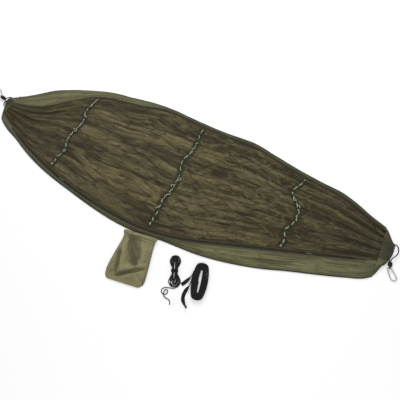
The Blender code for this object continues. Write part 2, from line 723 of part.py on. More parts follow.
def build_slider(side, x):
    """A slider astride the teeth and its pull tab, which turns on the slider's bridge."""
    point, turn = zip_frame(x)
    plate_bottom = TEETH_TOP + TOUCH_GAP
    plate_top = plate_bottom + SLIDER_PLATE
    foot_top = TEETH_BOTTOM - TOUCH_GAP
    foot_bottom = foot_top - SLIDER_FOOT
    bridge_outer = BRIDGE_SPAN / 2 + BRIDGE_BAR

    carrier = bpy.data.objects.new(f"zip_{side}_line", None)
    PARTS.objects.link(carrier)
    carrier.location = point
    carrier.rotation_euler = (0, 0, turn)

    name = f"zip_slider_{side}"
    body = box(
        name, "zip_metal", (SLIDER_LENGTH, SLIDER_WIDTH, SLIDER_PLATE),
        (0, 0, (plate_bottom + plate_top) / 2), parent=carrier,
    )
    web = box(
        f"{name}_web", "zip_metal",
        (SLIDER_LENGTH / 2, SLIDER_WEB, (plate_bottom + plate_top) / 2 - (foot_top + foot_bottom) / 2),
        (0, 0, ((plate_bottom + plate_top) / 2 + (foot_top + foot_bottom) / 2) / 2), CUTTERS, carrier,
    )
    foot = box(
        f"{name}_foot", "zip_metal", (SLIDER_LENGTH * 0.8, SLIDER_WIDTH * 0.8, SLIDER_FOOT),
        (0, 0, (foot_top + foot_bottom) / 2), CUTTERS, carrier,
    )
    arch_height = BRIDGE_RISE + BRIDGE_BAR
    sunk = SLIDER_PLATE / 2
    arch = box(
        f"{name}_bridge", "zip_metal",
        (2 * bridge_outer, BRIDGE_WIDTH, arch_height + sunk),
        (0, 0, plate_top + (arch_height - sunk) / 2), CUTTERS, carrier,
    )
    opening = box(
        f"{name}_bridge_hole", "zip_metal", (BRIDGE_SPAN, BRIDGE_WIDTH + CUT_OVERRUN, BRIDGE_RISE),
        (0, 0, plate_top + BRIDGE_RISE / 2), CUTTERS, carrier,
    )
    boolean(body, web, "UNION")
    boolean(body, foot, "UNION")
    boolean(body, arch, "UNION")
    boolean(body, opening, "DIFFERENCE")

    pivot = bpy.data.objects.new(f"zip_{side}_pull_axis", None)
    PARTS.objects.link(pivot)
    pivot.parent = carrier
    pivot.location = (0, 0, plate_top + TOUCH_GAP + PULL_THICKNESS / 2)
    tab = box(
        f"zip_pull_{side}", "zip_metal", (PULL_LENGTH, PULL_WIDTH, PULL_THICKNESS),
        (PULL_BAR / 2 - PULL_LENGTH / 2, 0, 0), parent=pivot,
    )
    eye = box(
        f"zip_pull_{side}_eye", "zip_metal", (PULL_EYE_LENGTH, PULL_EYE_WIDTH, PULL_THICKNESS + CUT_OVERRUN),
        (-PULL_BAR / 2 - PULL_EYE_LENGTH / 2, 0, 0), CUTTERS, pivot,
    )
    boolean(tab, eye, "DIFFERENCE")
    print(f"{name}: at {tuple(round(c, 5) for c in point)}, turned {math.degrees(turn):.3f} degrees,",
          f"pull axis at z {pivot.location.z:.5f}")


def cross_line(k):
    """The route of one cross line over the net, from the zip side to the seam side."""
    far_x, near_x = CROSS_LINE_ENDS[k]
    middle = (far_x + near_x) / 2
    count = 18
    rows = []
    for i in range(count + 1):
        v = CROSS_LINE_START_SHARE + CROSS_LINE_RUN_SHARE * i / count
        x, y = net_point(middle, v)
        rows.append(Vector((x, y)))
    return rows


def build_cross_line(k):
    """A tape sewn over the net, keeper loops on it, and a cord laced through them."""
    line = cross_line(k)
    bottom = TAPE_SEAT + TOUCH_GAP
    top = bottom + CROSS_TAPE_CLOTH
    name = f"cross_tape_{k + 1}"
    half = CROSS_TAPE_WIDTH / 2
    tape = ribbon(name, "green_tape", line, -half, half, bottom, CROSS_TAPE_CLOTH)
    cord_z = top + TOUCH_GAP + LACING_CORD / 2
    route = smooth_route([(p.x, p.y, cord_z) for p in line], LACING_CORD * 5)

    length = sum((b - a).length for a, b in zip(route, route[1:]))
    count = int(length / KEEPER_PITCH)
    loops = bmesh.new()
    inner = LACING_CORD / 2 + 4 * TOUCH_GAP
    outer = inner + KEEPER_CLOTH
    height = LACING_CORD + 3 * TOUCH_GAP
    for i in range(count):
        low = min(int((i + 0.5) / count * (len(route) - 1)), len(route) - 2)
        spot = route[low].lerp(route[low + 1], 0.5)
        along = route[low + 1] - route[low]
        turn = Matrix.Translation((spot.x, spot.y, top)) @ Matrix.Rotation(math.atan2(along.y, along.x), 4, "Z")
        sunk = -CROSS_TAPE_CLOTH / 2
        foot = outer + 2 * KEEPER_CLOTH
        profile = (
            (-foot, sunk), (-inner, sunk), (-inner, height * 0.62), (-inner * 0.55, height),
            (inner * 0.55, height), (inner, height * 0.62), (inner, sunk), (foot, sunk),
            (outer, height * 0.7), (inner * 0.75, height + KEEPER_CLOTH),
            (-inner * 0.75, height + KEEPER_CLOTH), (-outer, height * 0.7),
        )
        ends = []
        for x in (-KEEPER_LENGTH / 2, KEEPER_LENGTH / 2):
            ends.append([loops.verts.new(turn @ Vector((x, y, z))) for y, z in profile])
        edges = []
        for ring in ends:
            pairs = zip(ring, ring[1:] + ring[:1])
            edges.append([loops.edges.new(pair) for pair in pairs])
        bmesh.ops.bridge_loops(loops, edges=edges[0] + edges[1])
        for ring in edges:
            bmesh.ops.contextual_create(loops, geom=ring)
    bmesh.ops.recalc_face_normals(loops, faces=loops.faces)
    keepers = place(f"{name}_keepers", to_mesh(f"{name}_keepers", loops), "green_tape", CUTTERS)
    boolean(tape, keepers, "UNION")
    cord = tube(f"lacing_cord_{k + 1}", "flecked_cord", route, LACING_CORD)
    print(f"{cord.name}: {length:.3f} m long, {count} keeper loops")


class EndHardware:
    """The knot, rope and carabiner at one end, in a frame whose X points from knot to carabiner."""

    def __init__(self, side):
        self.side = side
        self.sign = 1 if side == "right" else -1
        self.plan = END_PLANS[side]
        self.knot_place = Vector((self.sign * (HALF_LENGTH - self.plan.knot_inset), self.plan.knot_y, 0))
        self.turn = math.radians(self.plan.turn)
        self.swing = math.radians(self.plan.swing)
        self.low = KNOT_WALL + 2 * TOUCH_GAP + ROPE / 2
        self.high = self.low + 2 * ROPE_EYE_SPACE
        self.middle = self.low + ROPE_EYE_SPACE
        self.wire_x = KNOT_LENGTH / 2 + 3 * TOUCH_GAP + WIRE / 2
        self.frame = Matrix.Translation(self.knot_place) @ Matrix.Rotation(self.turn, 4, "Z")
        self.lean = math.asin((self.middle - WIRE / 2 - TOUCH_GAP) / (CARABINER_LENGTH - WIRE))
        self.span = CARABINER_LENGTH - WIRE - NARROW_BEND - WIDE_BEND

    def rope_points(self):
        """Round the carabiner, back through the knot, through the sleeve and home."""
        steps = 6
        points = []
        for s in (-KNOT_LENGTH / 2 - ROPE / 3, 0.0, self.wire_x - ROPE / 3):
            points.append(self.frame @ Vector((s, 0, self.low)))
        for i in range(1, steps):
            angle = -math.pi / 2 + math.pi * i / steps
            points.append(self.frame @ Vector((
                self.wire_x + ROPE_EYE_SPACE * math.cos(angle), 0,
                self.middle + ROPE_EYE_SPACE * math.sin(angle),
            )))
        for s in (self.wire_x - ROPE / 3, 0.0, -KNOT_LENGTH / 2 - ROPE / 3):
            points.append(self.frame @ Vector((s, 0, self.high)))
        route = [self.knot_place + Vector(p) for p in self.plan.route]
        free = smooth_route([points[-1], *route, points[0]], ROPE * 1.5)
        return points, points + free[1:-1]

    def build(self):
        eye, loop = self.rope_points()
        name = f"end_rope_{self.side}"
        tube(name, "black_cord", loop, ROPE, cyclic=True)
        self.build_knot(eye)
        self.build_sleeve(loop)
        self.build_carabiner()
        length = sum((b - a).length for a, b in zip(loop, loop[1:] + loop[:1]))
        print(f"{name}: {length:.3f} m round")

    def build_knot(self, eye):
        """The knot's wraps as one turned body, bored for both strands."""
        name = f"end_knot_{self.side}"
        radius = ROPE_EYE_SPACE + ROPE / 2 + KNOT_WALL + TOUCH_GAP
        profile = (
            (0.0, 0.0), (0.0, 0.72), (0.06, 0.88), (0.20, 0.97), (0.31, 0.90), (0.42, 1.0), (0.58, 1.0),
            (0.69, 0.90), (0.80, 0.97), (0.94, 0.88), (1.0, 0.72), (1.0, 0.0),
        )
        mesh = bpy.data.meshes.new(name)
        spots = [(share * radius, 0, (0.5 - at) * KNOT_LENGTH) for at, share in profile]
        mesh.from_pydata(spots, [(i, i + 1) for i in range(len(spots) - 1)], [])
        knot = place(name, mesh, "black_cord")
        screw = knot.modifiers.new("turned", "SCREW")
        screw.steps = 14
        screw.render_steps = 14
        screw.use_merge_vertices = True
        screw.merge_threshold = CUT_OVERRUN / 1000
        knot.matrix_world = (
            self.frame @ Matrix.Translation((0, 0, self.middle)) @ Matrix.Rotation(math.pi / 2, 4, "Y")
        )
        for level, label in ((self.low, "low"), (self.high, "high")):
            reach = KNOT_LENGTH / 2 + CUT_OVERRUN
            ends = [self.frame @ Vector((s, 0, level)) for s in (-reach, reach)]
            bore = tube(f"{name}_bore_{label}", "black_cord", ends, ROPE + 2 * TOUCH_GAP, group=CUTTERS)
            boolean(knot, solid_from_curve(bore), "DIFFERENCE")

    def build_sleeve(self, loop):
        """The gathered end of the cloth, pleated on top, with the rope's tunnel through it."""
        name = f"end_sleeve_{self.side}"
        sign, plan = self.sign, self.plan
        start = sign * (CLOTH_END + TOUCH_GAP)
        near, far = near_edge(start), far_edge(start)
        tip_x = self.knot_place.x - sign * plan.tip_inset
        tip_near, tip_far = plan.knot_y + plan.tip_near, plan.knot_y + plan.tip_far
        pleats = 12
        steps = 5

        def surface(i, j):
            v = j / pleats
            u = i / steps
            base = near + (far - near) * v
            tip = tip_near + (tip_far - tip_near) * v
            tip_at = tip_x + sign * plan.tip_bulge * math.sin(math.pi * v) + plan.tip_lean * (v - 0.5)
            x = start + (tip_at - start) * u
            y = base + (tip - base) * ease(u) ** 0.9
            edge = j in (0, pleats)
            crown = TAPE_SEAT + (SLEEVE_HEIGHT - TAPE_SEAT) * ease(u * 1.6)
            z = crown - (0 if j % 2 else SLEEVE_PLEAT * (0.4 + 0.6 * u))
            return x, y, z * (0.72 if edge else 1)

        sleeve = grid_slab(name, "bed_cloth", steps, pleats, surface, 0.0)
        tunnel = tube(
            f"{name}_tunnel", "bed_cloth", loop, ROPE + 2 * TOUCH_GAP, cyclic=True, resolution=2, group=CUTTERS
        )
        boolean(sleeve, solid_from_curve(tunnel), "DIFFERENCE")

    def build_carabiner(self):
        """A bent wire body with a sprung gate on one leg, leaning from the rope eye down to the floor."""
        side = self.side
        tip = self.frame @ Vector((self.wire_x, 0, self.middle))
        swing = bpy.data.objects.new(f"carabiner_{side}_axis", None)
        PARTS.objects.link(swing)
        place_tip = Matrix.Translation(tip) @ Matrix.Rotation(self.turn, 4, "Z") @ Matrix.Rotation(self.lean, 4, "Y")
        swing.matrix_world = place_tip @ Matrix.Translation((NARROW_BEND, 0, 0)) @ Matrix.Rotation(self.swing, 4, "Z")

        taper = math.asin((WIDE_BEND - NARROW_BEND) / self.span)
        leg = math.sqrt(self.span**2 - (WIDE_BEND - NARROW_BEND) ** 2)
        side_turn = math.pi / 2 + taper
        points = []
        for i in range(13):
            angle = side_turn - 2 * side_turn * i / 12
            points.append((self.span + WIDE_BEND * math.cos(angle), WIDE_BEND * math.sin(angle), 0))
        for i in range(11):
            angle = side_turn + (2 * math.pi - 2 * side_turn) * (1 - i / 10)
            points.append((NARROW_BEND * math.cos(angle), NARROW_BEND * math.sin(angle), 0))
        name = f"carabiner_body_{side}"
        body = solid_from_curve(tube(name, "carabiner_steel", points, WIRE))
        body.data.materials.clear()
        body.data.materials.append(material("carabiner_steel"))
        body.parent = swing

        root = Vector(points[-1])
        nose = Vector(points[0])
        along = (nose - root).normalized()
        leg_frame = Matrix.Translation(root) @ Matrix.Rotation(math.atan2(along.y, along.x), 4, "Z")

        def on_leg(made, offset=0.0, along_leg=False):
            """Seats a piece on the leg, its own Z turned along the leg where it is a turned bar."""
            quarter = Matrix.Rotation(math.pi / 2 if along_leg else 0, 4, "Y")
            made.matrix_parent_inverse = Matrix.Identity(4)
            made.matrix_local = leg_frame @ Matrix.Translation((offset, 0, 0)) @ quarter
            return made

        sunk = WIRE / 2
        tongue = box(
            f"{name}_tongue", "carabiner_steel", (PIVOT_SETBACK + sunk, TONGUE_WIDTH, TONGUE_THICKNESS),
            ((PIVOT_SETBACK - sunk) / 2, 0, 0), CUTTERS, swing,
        )
        eye = cylinder(
            f"{name}_tongue_eye", "carabiner_steel", TONGUE_WIDTH, TONGUE_THICKNESS, (0, 0, 0), CUTTERS, swing
        )
        bore = cylinder(
            f"{name}_rivet_bore", "carabiner_steel", RIVET + 2 * RIVET_CLEARANCE,
            WIRE + 2 * CUT_OVERRUN, (0, 0, 0), CUTTERS, swing,
        )
        on_leg(tongue)
        on_leg(eye, PIVOT_SETBACK)
        on_leg(bore, PIVOT_SETBACK)
        boolean(body, tongue, "UNION")
        boolean(body, eye, "UNION")
        boolean(body, bore, "DIFFERENCE")
        rivet = cylinder(
            f"carabiner_rivet_{side}", "carabiner_steel", RIVET, GATE_WIRE + 2 * RIVET_STAND, (0, 0, 0), parent=swing
        )
        on_leg(rivet, PIVOT_SETBACK)
        self.build_gate(swing, leg, on_leg)
        pivot = swing.matrix_world @ leg_frame @ Vector((PIVOT_SETBACK, 0, 0))
        axis = (swing.matrix_world.to_3x3() @ Vector((0, 0, 1))).normalized()
        centre = swing.matrix_world.translation
        print(f"carabiner {side}: swing axis {[round(c, 5) for c in axis]} at {[round(c, 5) for c in centre]},",
              f"gate pivot {[round(c, 5) for c in pivot]}")

    def build_gate(self, swing, leg, on_leg):
        """The gate: a turned bar, slotted over the body's tongue and bored for its spring."""
        side = self.side
        name = f"carabiner_gate_{side}"
        radius = GATE_WIRE / 2
        length = leg - PIVOT_SETBACK - 2 * TOUCH_GAP
        spots = [(0.0, 0, length), (radius * 0.85, 0, length), (radius, 0, length - radius * 0.2)]
        for i in range(7):
            angle = math.pi / 2 * i / 6
            spots.append((radius * math.cos(angle), 0, -radius * math.sin(angle)))
        spots[-1] = (0.0, 0, -radius)
        mesh = bpy.data.meshes.new(name)
        mesh.from_pydata(spots, [(i, i + 1) for i in range(len(spots) - 1)], [])
        gate = place(name, mesh, "carabiner_steel", parent=swing)
        screw = gate.modifiers.new("turned", "SCREW")
        screw.steps = 12
        screw.render_steps = 12
        screw.use_merge_vertices = True
        screw.merge_threshold = CUT_OVERRUN / 1000
        on_leg(gate, PIVOT_SETBACK, along_leg=True)
        slot_deep = TONGUE_WIDTH / 2 + 2 * TOUCH_GAP
        slot = box(
            f"{name}_slot", "carabiner_steel", (slot_deep + radius + CUT_OVERRUN, GATE_WIRE + CUT_OVERRUN, GATE_SLOT),
            ((slot_deep - radius - CUT_OVERRUN) / 2, 0, 0), CUTTERS, swing,
        )
        bore = cylinder(
            f"{name}_bore", "carabiner_steel", RIVET + 2 * RIVET_CLEARANCE, GATE_WIRE + 2 * CUT_OVERRUN,
            (0, 0, 0), CUTTERS, swing, sides=12,
        )
        well = cylinder(
            f"{name}_well", "carabiner_steel", SPRING_BORE, SPRING_LENGTH + 4 * TOUCH_GAP + CUT_OVERRUN,
            (0, 0, 0), CUTTERS, swing, sides=12,
        )
        on_leg(slot, PIVOT_SETBACK)
        on_leg(bore, PIVOT_SETBACK)
        well_middle = slot_deep + (SPRING_LENGTH + 4 * TOUCH_GAP - CUT_OVERRUN) / 2
        on_leg(well, PIVOT_SETBACK + well_middle, along_leg=True)
        for cutter in (slot, bore, well):
            boolean(gate, cutter, "DIFFERENCE")
        start = slot_deep + TOUCH_GAP
        coil = SPRING_COIL / 2
        points = []
        for i in range(SPRING_TURNS * 8 + 1):
            angle = 2 * math.pi * i / 8
            points.append((
                start + SPRING_WIRE + (SPRING_LENGTH - 2 * SPRING_WIRE) * i / (SPRING_TURNS * 8),
                coil * math.cos(angle), coil * math.sin(angle),
            ))
        spring = tube(f"gate_spring_{side}", "carabiner_steel", points, SPRING_WIRE, resolution=0)
        spring.parent = swing
        on_leg(spring, PIVOT_SETBACK)


def sack_axis():
    """The sack's mouth centre, its base centre and the way across it, in plan."""
    lean = math.radians(SACK_LEAN)
    along = Vector((math.sin(lean), -math.cos(lean)))
    mouth = Vector((SACK_MOUTH_X, near_edge(SACK_MOUTH_X) - SACK_MOUTH_SPACE))
    return mouth, mouth + along * SACK_LENGTH, Vector((-along.y, along.x))


def sack_section(share, shrink=0.0):
    """One cross section of the sack, from its mouth at 0 to its base at 1."""
    mouth, base, across = sack_axis()
    width_shares = ((0.0, 1.0), (0.12, 0.93), (0.30, 0.97), (0.55, 1.06), (0.80, 1.13), (0.93, 1.10), (1.0, 0.98))
    half = SACK_MOUTH_HALF * hermite(width_shares, share) - shrink
    belly = SACK_MOUTH_RISE + (SACK_BELLY_RISE - SACK_MOUTH_RISE) * ease(share * 2.2)
    rise = belly * (1 - 0.78 * ease((share - 0.72) / 0.28)) - shrink
    centre = mouth.lerp(base, share)
    bottom = TOUCH_GAP + (CASING_CLOTH + CASING_CHANNEL + CASING_CLOTH) * (1 - ease(share * 5 - 0.25))
    middle = bottom + belly * (1 - 0.78 * ease((share - 0.72) / 0.28))
    ring = []
    for k in range(SACK_SIDES):
        angle = 2 * math.pi * k / SACK_SIDES
        c, s = math.cos(angle), math.sin(angle)
        flat = math.copysign(abs(c) ** 0.8, c)
        spot = centre + across * half * flat
        ring.append(Vector((spot.x, spot.y, middle + rise * s)))
    return ring


def build_sack():
    """The stuff sack: an open cloth shell with its mouth casing, drawcord, side binding and joining tab."""
    shares = (0.0, 0.045, 0.085, 0.14, 0.25, 0.42, 0.6, 0.75, 0.87, 0.95, 1.0)
    bm = bmesh.new()
    loops = []
    for share in shares:
        ring = sack_section(share)
        verts = [bm.verts.new(p) for p in ring]
        loops.append([bm.edges.new(pair) for pair in zip(verts, verts[1:] + verts[:1])])
    for first, second in zip(loops, loops[1:]):
        bmesh.ops.bridge_loops(bm, edges=first + second)
    bmesh.ops.contextual_create(bm, geom=loops[-1])
    bmesh.ops.recalc_face_normals(bm, faces=bm.faces)
    middle = sum((v.co for v in bm.verts), Vector()) / len(bm.verts)
    top = max(bm.faces, key=lambda f: f.calc_center_median().z)
    if top.normal.dot(top.calc_center_median() - middle) < 0:
        bmesh.ops.reverse_faces(bm, faces=bm.faces)
    shell = place("sack_shell", to_mesh("sack_shell", bm), "sack_cloth")
    wall = shell.modifiers.new("cloth", "SOLIDIFY")
    wall.thickness = SACK_CLOTH
    wall.offset = -1

    def band(share, stand):
        """The sack's section at a share, stood off its surface."""
        return sack_section(share, shrink=-stand)

    def channel_rings(from_share, to_share):
        """The C section of the casing, open towards the shell."""
        clear = TOUCH_GAP * 1.6
        deep = CASING_CHANNEL
        wall_share = (to_share - from_share) * 0.18
        spots = (
            (from_share, clear), (from_share + wall_share, clear), (from_share + wall_share, clear + deep),
            (to_share - wall_share, clear + deep), (to_share - wall_share, clear), (to_share, clear),
            (to_share, clear + deep + CASING_CLOTH), (from_share, clear + deep + CASING_CLOTH),
        )
        tracks = [band(share, stand) for share, stand in spots]
        return [[track[k] for track in tracks] for k in range(SACK_SIDES)]

    width_share = CASING_WIDTH / SACK_LENGTH
    casing = channel_rings(CASING_START_SHARE, CASING_START_SHARE + width_share)
    loft("sack_mouth_casing", "sack_cloth", casing, closed_path=True)
    cord_ring = band(CASING_START_SHARE + width_share / 2, TOUCH_GAP * 1.6 + CASING_CHANNEL / 2)
    tube("sack_drawcord", "black_cord", cord_ring, DRAWCORD, cyclic=True)

    rows = []
    for i in range(14):
        share = 0.10 + 0.84 * i / 13
        ring = sack_section(share)
        edge = ring[0]
        rows.append((edge, ring[0] - ring[SACK_SIDES // 2]))
    rings = []
    for edge, across in rows:
        out = across.normalized()
        inner, outer = TOUCH_GAP * 2, TOUCH_GAP * 2 + BINDING_WIDTH
        half = BINDING_HEIGHT / 2
        low = max(edge.z - half, TOUCH_GAP)
        rings.append([
            Vector((edge.x + out.x * inner, edge.y + out.y * inner, low)),
            Vector((edge.x + out.x * outer, edge.y + out.y * outer, low)),
            Vector((edge.x + out.x * outer, edge.y + out.y * outer, low + BINDING_HEIGHT)),
            Vector((edge.x + out.x * inner, edge.y + out.y * inner, low + BINDING_HEIGHT)),
        ])
    loft("sack_seam_binding", "sack_cloth", rings)


def build_join_tab():
    """The doubled tab that sews one corner of the sack's mouth to the near hem."""
    mouth, base, across = sack_axis()

    def surface(i, j):
        x = JOIN_TAB_X + JOIN_TAB_WIDTH * (i - 0.5)
        rim_y = mouth.y + across.y * (x - mouth.x) / across.x
        y = (rim_y + TOUCH_GAP, near_edge(x) - 2 * TOUCH_GAP)[j]
        return x, y, HEM_HEIGHT + TOUCH_GAP + JOIN_TAB_CLOTH

    grid_slab("sack_join_tab", "sack_cloth", 1, 1, surface, HEM_HEIGHT + TOUCH_GAP)


def hank_centre():
    return Vector((HANK_X, near_edge(HANK_X) - HANK_SPACE, 0))


def hank_layer(table, shape):
    """A value of the hank's layers, read between two layers where the cord moves to the next."""
    low = min(int(shape), HANK_LAYERS - 2)
    return table[low] + (table[low + 1] - table[low]) * (shape - low)


def hank_point(turn):
    """A point of the wound cord, turn counting loops from the first."""
    layer = min(int(turn / HANK_TURNS_A_LAYER), HANK_LAYERS - 1)
    within = turn - layer * HANK_TURNS_A_LAYER
    track = within if layer % 2 else HANK_TURNS_A_LAYER - within
    near = round(turn / HANK_TURNS_A_LAYER)
    rise = shape = layer
    past = turn - near * HANK_TURNS_A_LAYER
    if 0 < near < HANK_LAYERS and abs(past) < 0.25:
        shape = near - 1 + ease((past + 0.22) / 0.18)
        rise = near - 1 + ease((past + 0.05) / 0.27)
    angle = 2 * math.pi * turn
    out = track * HANK_STEP
    c, s = math.cos(angle), math.sin(angle)
    x = (HANK_HALF_LENGTH + out) * math.copysign(abs(c) ** 0.92, c)
    lobe = (HANK_LOWER_LOBE if x > 0 else HANK_UPPER_LOBE) * hank_layer(HANK_LAYER_SHARES, shape)
    spread = ease(abs(x) / HANK_WAIST_RUN)
    half = HANK_WAIST_HALF + (lobe - HANK_WAIST_HALF) * spread
    y = (half + out) * math.copysign(min(1.0, abs(s) * 1.15) ** 0.75, s) + hank_layer(HANK_LAYER_SHIFTS, shape) * spread
    lift = (HANK_WRAP_CLOTH + 3 * TOUCH_GAP) * (1 - spread)
    z = HANK_CORD / 2 + TOUCH_GAP + rise * HANK_LAYER_RISE + lift
    turned = Matrix.Rotation(math.radians(HANK_TURN), 4, "Z") @ Vector((x, y, z))
    return turned + hank_centre()


def least_self_gap(points, diameter, skip):
    """The smallest space between parts of a cord that lie more than skip points apart."""
    segments = list(zip(points, points[1:]))
    middles = [(a + b) / 2 for a, b in segments]
    least = None
    for i, (a, b) in enumerate(segments):
        for j in range(i + skip, len(segments)):
            if (middles[i] - middles[j]).length > 4 * diameter:
                continue
            for t in (0, 0.25, 0.5, 0.75, 1):
                p = a.lerp(b, t)
                c, d = segments[j]
                along = d - c
                s = min(max((p - c).dot(along) / along.length_squared, 0), 1)
                gap = (p - c.lerp(d, s)).length - diameter
                least = gap if least is None else min(least, gap)
    return least


def build_hank():
    """The hank of thin cord, its waist wrap and its loose tail."""
    turns = HANK_LAYERS * HANK_TURNS_A_LAYER
    start = 0.02
    count = int((turns - start - 0.1) * POINTS_A_TURN)
    points = [hank_point(start + i / POINTS_A_TURN) for i in range(count + 1)]
    tube("guy_cord_hank", "black_cord", points, HANK_CORD, resolution=1)
    length = sum((b - a).length for a, b in zip(points, points[1:]))
    gap = least_self_gap(points, HANK_CORD, POINTS_A_TURN // 4)
    print(f"guy_cord_hank: {length:.2f} m of cord, least gap to itself {1000 * gap:.2f} mm")

    turn = Matrix.Translation(hank_centre()) @ Matrix.Rotation(math.radians(HANK_TURN), 4, "Z")
    near = [turn.inverted() @ p for p in points]
    fine = [a.lerp(b, t / 8) for a, b in zip(near, near[1:]) for t in range(8)]
    waist = [p for p in fine if abs(p.x) < HANK_WRAP_WIDTH / 2 + HANK_CORD / 2]
    half = max(abs(p.y) for p in waist) + HANK_CORD / 2 + TOUCH_GAP
    low = min(p.z for p in waist) - HANK_CORD / 2 - TOUCH_GAP
    high = max(p.z for p in waist) + HANK_CORD / 2 + TOUCH_GAP
    rings = []
    for k in range(20):
        corner, step = divmod(k, 5)
        angle = math.pi / 2 * (corner + step / 4)
        c, s = math.cos(angle), math.sin(angle)
        side_c, side_s = (1, -1, -1, 1)[corner], (1, 1, -1, -1)[corner]
        ring = []
        for x, grow in ((-0.5, 0), (0.5, 0), (0.5, 1), (-0.5, 1)):
            round_off = HANK_CORD / 2 + TOUCH_GAP + HANK_WRAP_CLOTH * grow
            reach = half - HANK_CORD / 2 - TOUCH_GAP
            rise = (high - low) / 2 - HANK_CORD / 2 - TOUCH_GAP
            ring.append(turn @ Vector((
                x * HANK_WRAP_WIDTH, side_c * reach + c * round_off,
                (low + high) / 2 + side_s * rise + s * round_off,
            )))
        rings.append(ring)
    loft("hank_waist_wrap", "black_cord", rings, closed_path=True)

    leave = (points[0] - points[1]).normalized()
    begin = points[0] + leave * TOUCH_GAP
    route = [begin, begin + leave * HANK_CORD * 2, *(hank_centre() + Vector(p) for p in ROUTE_HANK_TAIL)]
    tail = smooth_route(route, HANK_CORD * 2)
    tube("guy_cord_tail", "black_cord", tail, HANK_CORD, resolution=1)
    gap = least_self_gap(tail, HANK_CORD, 5)
    length = sum((b - a).length for a, b in zip(tail, tail[1:]))
    print(f"guy_cord_tail: {length:.3f} m, least gap to itself {1000 * gap:.2f} mm")


def strap_ribbon(name, line):
    """Webbing standing on its edge along a plan line."""
    half = STRAP_THICKNESS / 2
    sides = (offset_line(line, -half), offset_line(line, half))
    return grid_slab(
        name, "black_cord", len(line) - 1, 1,
        lambda i, j: (*sides[j][i], TOUCH_GAP + STRAP_WIDTH), TOUCH_GAP,
    )


def strap_end(name, line, lay):
    """A loose end of webbing that turns from its edge towards lying flat, by the shares in lay."""
    reach = [0.0]
    for a, b in zip(line, line[1:]):
        reach.append(reach[-1] + math.dist(a, b))
    left, right = offset_line(line, 0.5), offset_line(line, -0.5)
    rings = []
    for i, (x, y) in enumerate(line):
        side = Vector((left[i][0] - right[i][0], left[i][1] - right[i][1], 0))
        angle = math.pi / 2 * (1 - min(max(hermite(lay, reach[i] / reach[-1]), 0), 1))
        across = side * math.cos(angle) + Vector((0, 0, math.sin(angle)))
        stand = Vector((0, 0, math.cos(angle))) - side * math.sin(angle)
        half, thick = STRAP_WIDTH / 2, STRAP_THICKNESS / 2
        middle = Vector((x, y, TOUCH_GAP + half * math.sin(angle) + thick * math.cos(angle)))
        rings.append([middle + across * (a * half) + stand * (b * thick) for a, b in ((-1, -1), (1, -1), (1, 1), (-1, 1))])
    loft(name, "black_cord", rings)


def build_strap():
    """The webbing wound in a long oval, and its two loose ends."""
    centre = Vector((STRAP_X, near_edge(STRAP_X) - STRAP_SPACE, 0))
    turn = Matrix.Translation(centre) @ Matrix.Rotation(math.radians(STRAP_TURN), 4, "Z")
    points = []
    count = STRAP_TURNS * POINTS_A_TURN
    for i in range(count + 1):
        turns = i / POINTS_A_TURN
        inward = STRAP_STEP * (STRAP_TURNS - turns) + STRAP_THICKNESS / 2
        width = STRAP_HALF_WIDTH - inward
        run = STRAP_HALF_LENGTH - STRAP_HALF_WIDTH
        angle = 2 * math.pi * turns - math.pi / 2
        c, s = math.cos(angle), math.sin(angle)
        push = run * math.copysign(min(1.0, abs(c) * 1.35), c)
        points.append(turn @ Vector((push + width * c, width * s, 0)))
    line = [(p.x, p.y) for p in points]
    strap_ribbon("strap_coil", line)
    length = sum((b - a).length for a, b in zip(points, points[1:]))
    gap = least_self_gap(points, STRAP_THICKNESS, POINTS_A_TURN // 2)
    print(f"strap_coil: {length:.2f} m of webbing, least gap to itself {1000 * gap:.2f} mm")
    begin = points[-1] + (points[-1] - points[-2]).normalized() * TOUCH_GAP
    long_tail = smooth_route([begin, *(centre + Vector((*p, 0)) for p in ROUTE_STRAP_TAIL_LONG)], STRAP_WIDTH / 2)
    strap_end("strap_tail_long", [(p.x, p.y) for p in long_tail], LAY_STRAP_TAIL_LONG)
    beside = offset_line(line, -STRAP_THICKNESS - TOUCH_GAP)
    first, second = (Vector((*p, 0)) for p in (beside[-3], beside[-2]))
    rest = smooth_route([second, *(centre + Vector((*p, 0)) for p in ROUTE_STRAP_TAIL_SHORT)], STRAP_WIDTH / 2)
    strap_end("strap_tail_short", [(p.x, p.y) for p in (first.lerp(second, 0.4), *rest)], LAY_STRAP_TAIL_SHORT)


def main():
    build_bed()
    build_net()
    build_hems()
    build_seam_tape()
    build_zip()
    build_slider("left", LEFT_SLIDER_SHARE * HALF_LENGTH)
    build_slider("right", RIGHT_SLIDER_SHARE * HALF_LENGTH)
    for k in range(len(CROSS_LINE_ENDS)):
        build_cross_line(k)
    for side in END_PLANS:
        EndHardware(side).build()
    build_sack()
    build_join_tab()
    build_hank()
    build_strap()


main()
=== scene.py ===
"""Looks of a hammock tent laid out flat: olive bed cloth under a brown-olive insect net, laced cross
lines, a zip with two sliders, end ropes with wire carabiners, a stuff sack, a hank of cord and a strap.

Every length is in metres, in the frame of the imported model: +X from the narrow end to the blunt end,
+Y away from the zipped side, +Z up, the origin on the floor halfway between the end knots.
"""

from __future__ import annotations

import logging
import math
from dataclasses import dataclass, field
from enum import Enum
from typing import Iterable, Sequence

import bmesh
import bpy
import numpy as np
from mathutils import Matrix, Vector

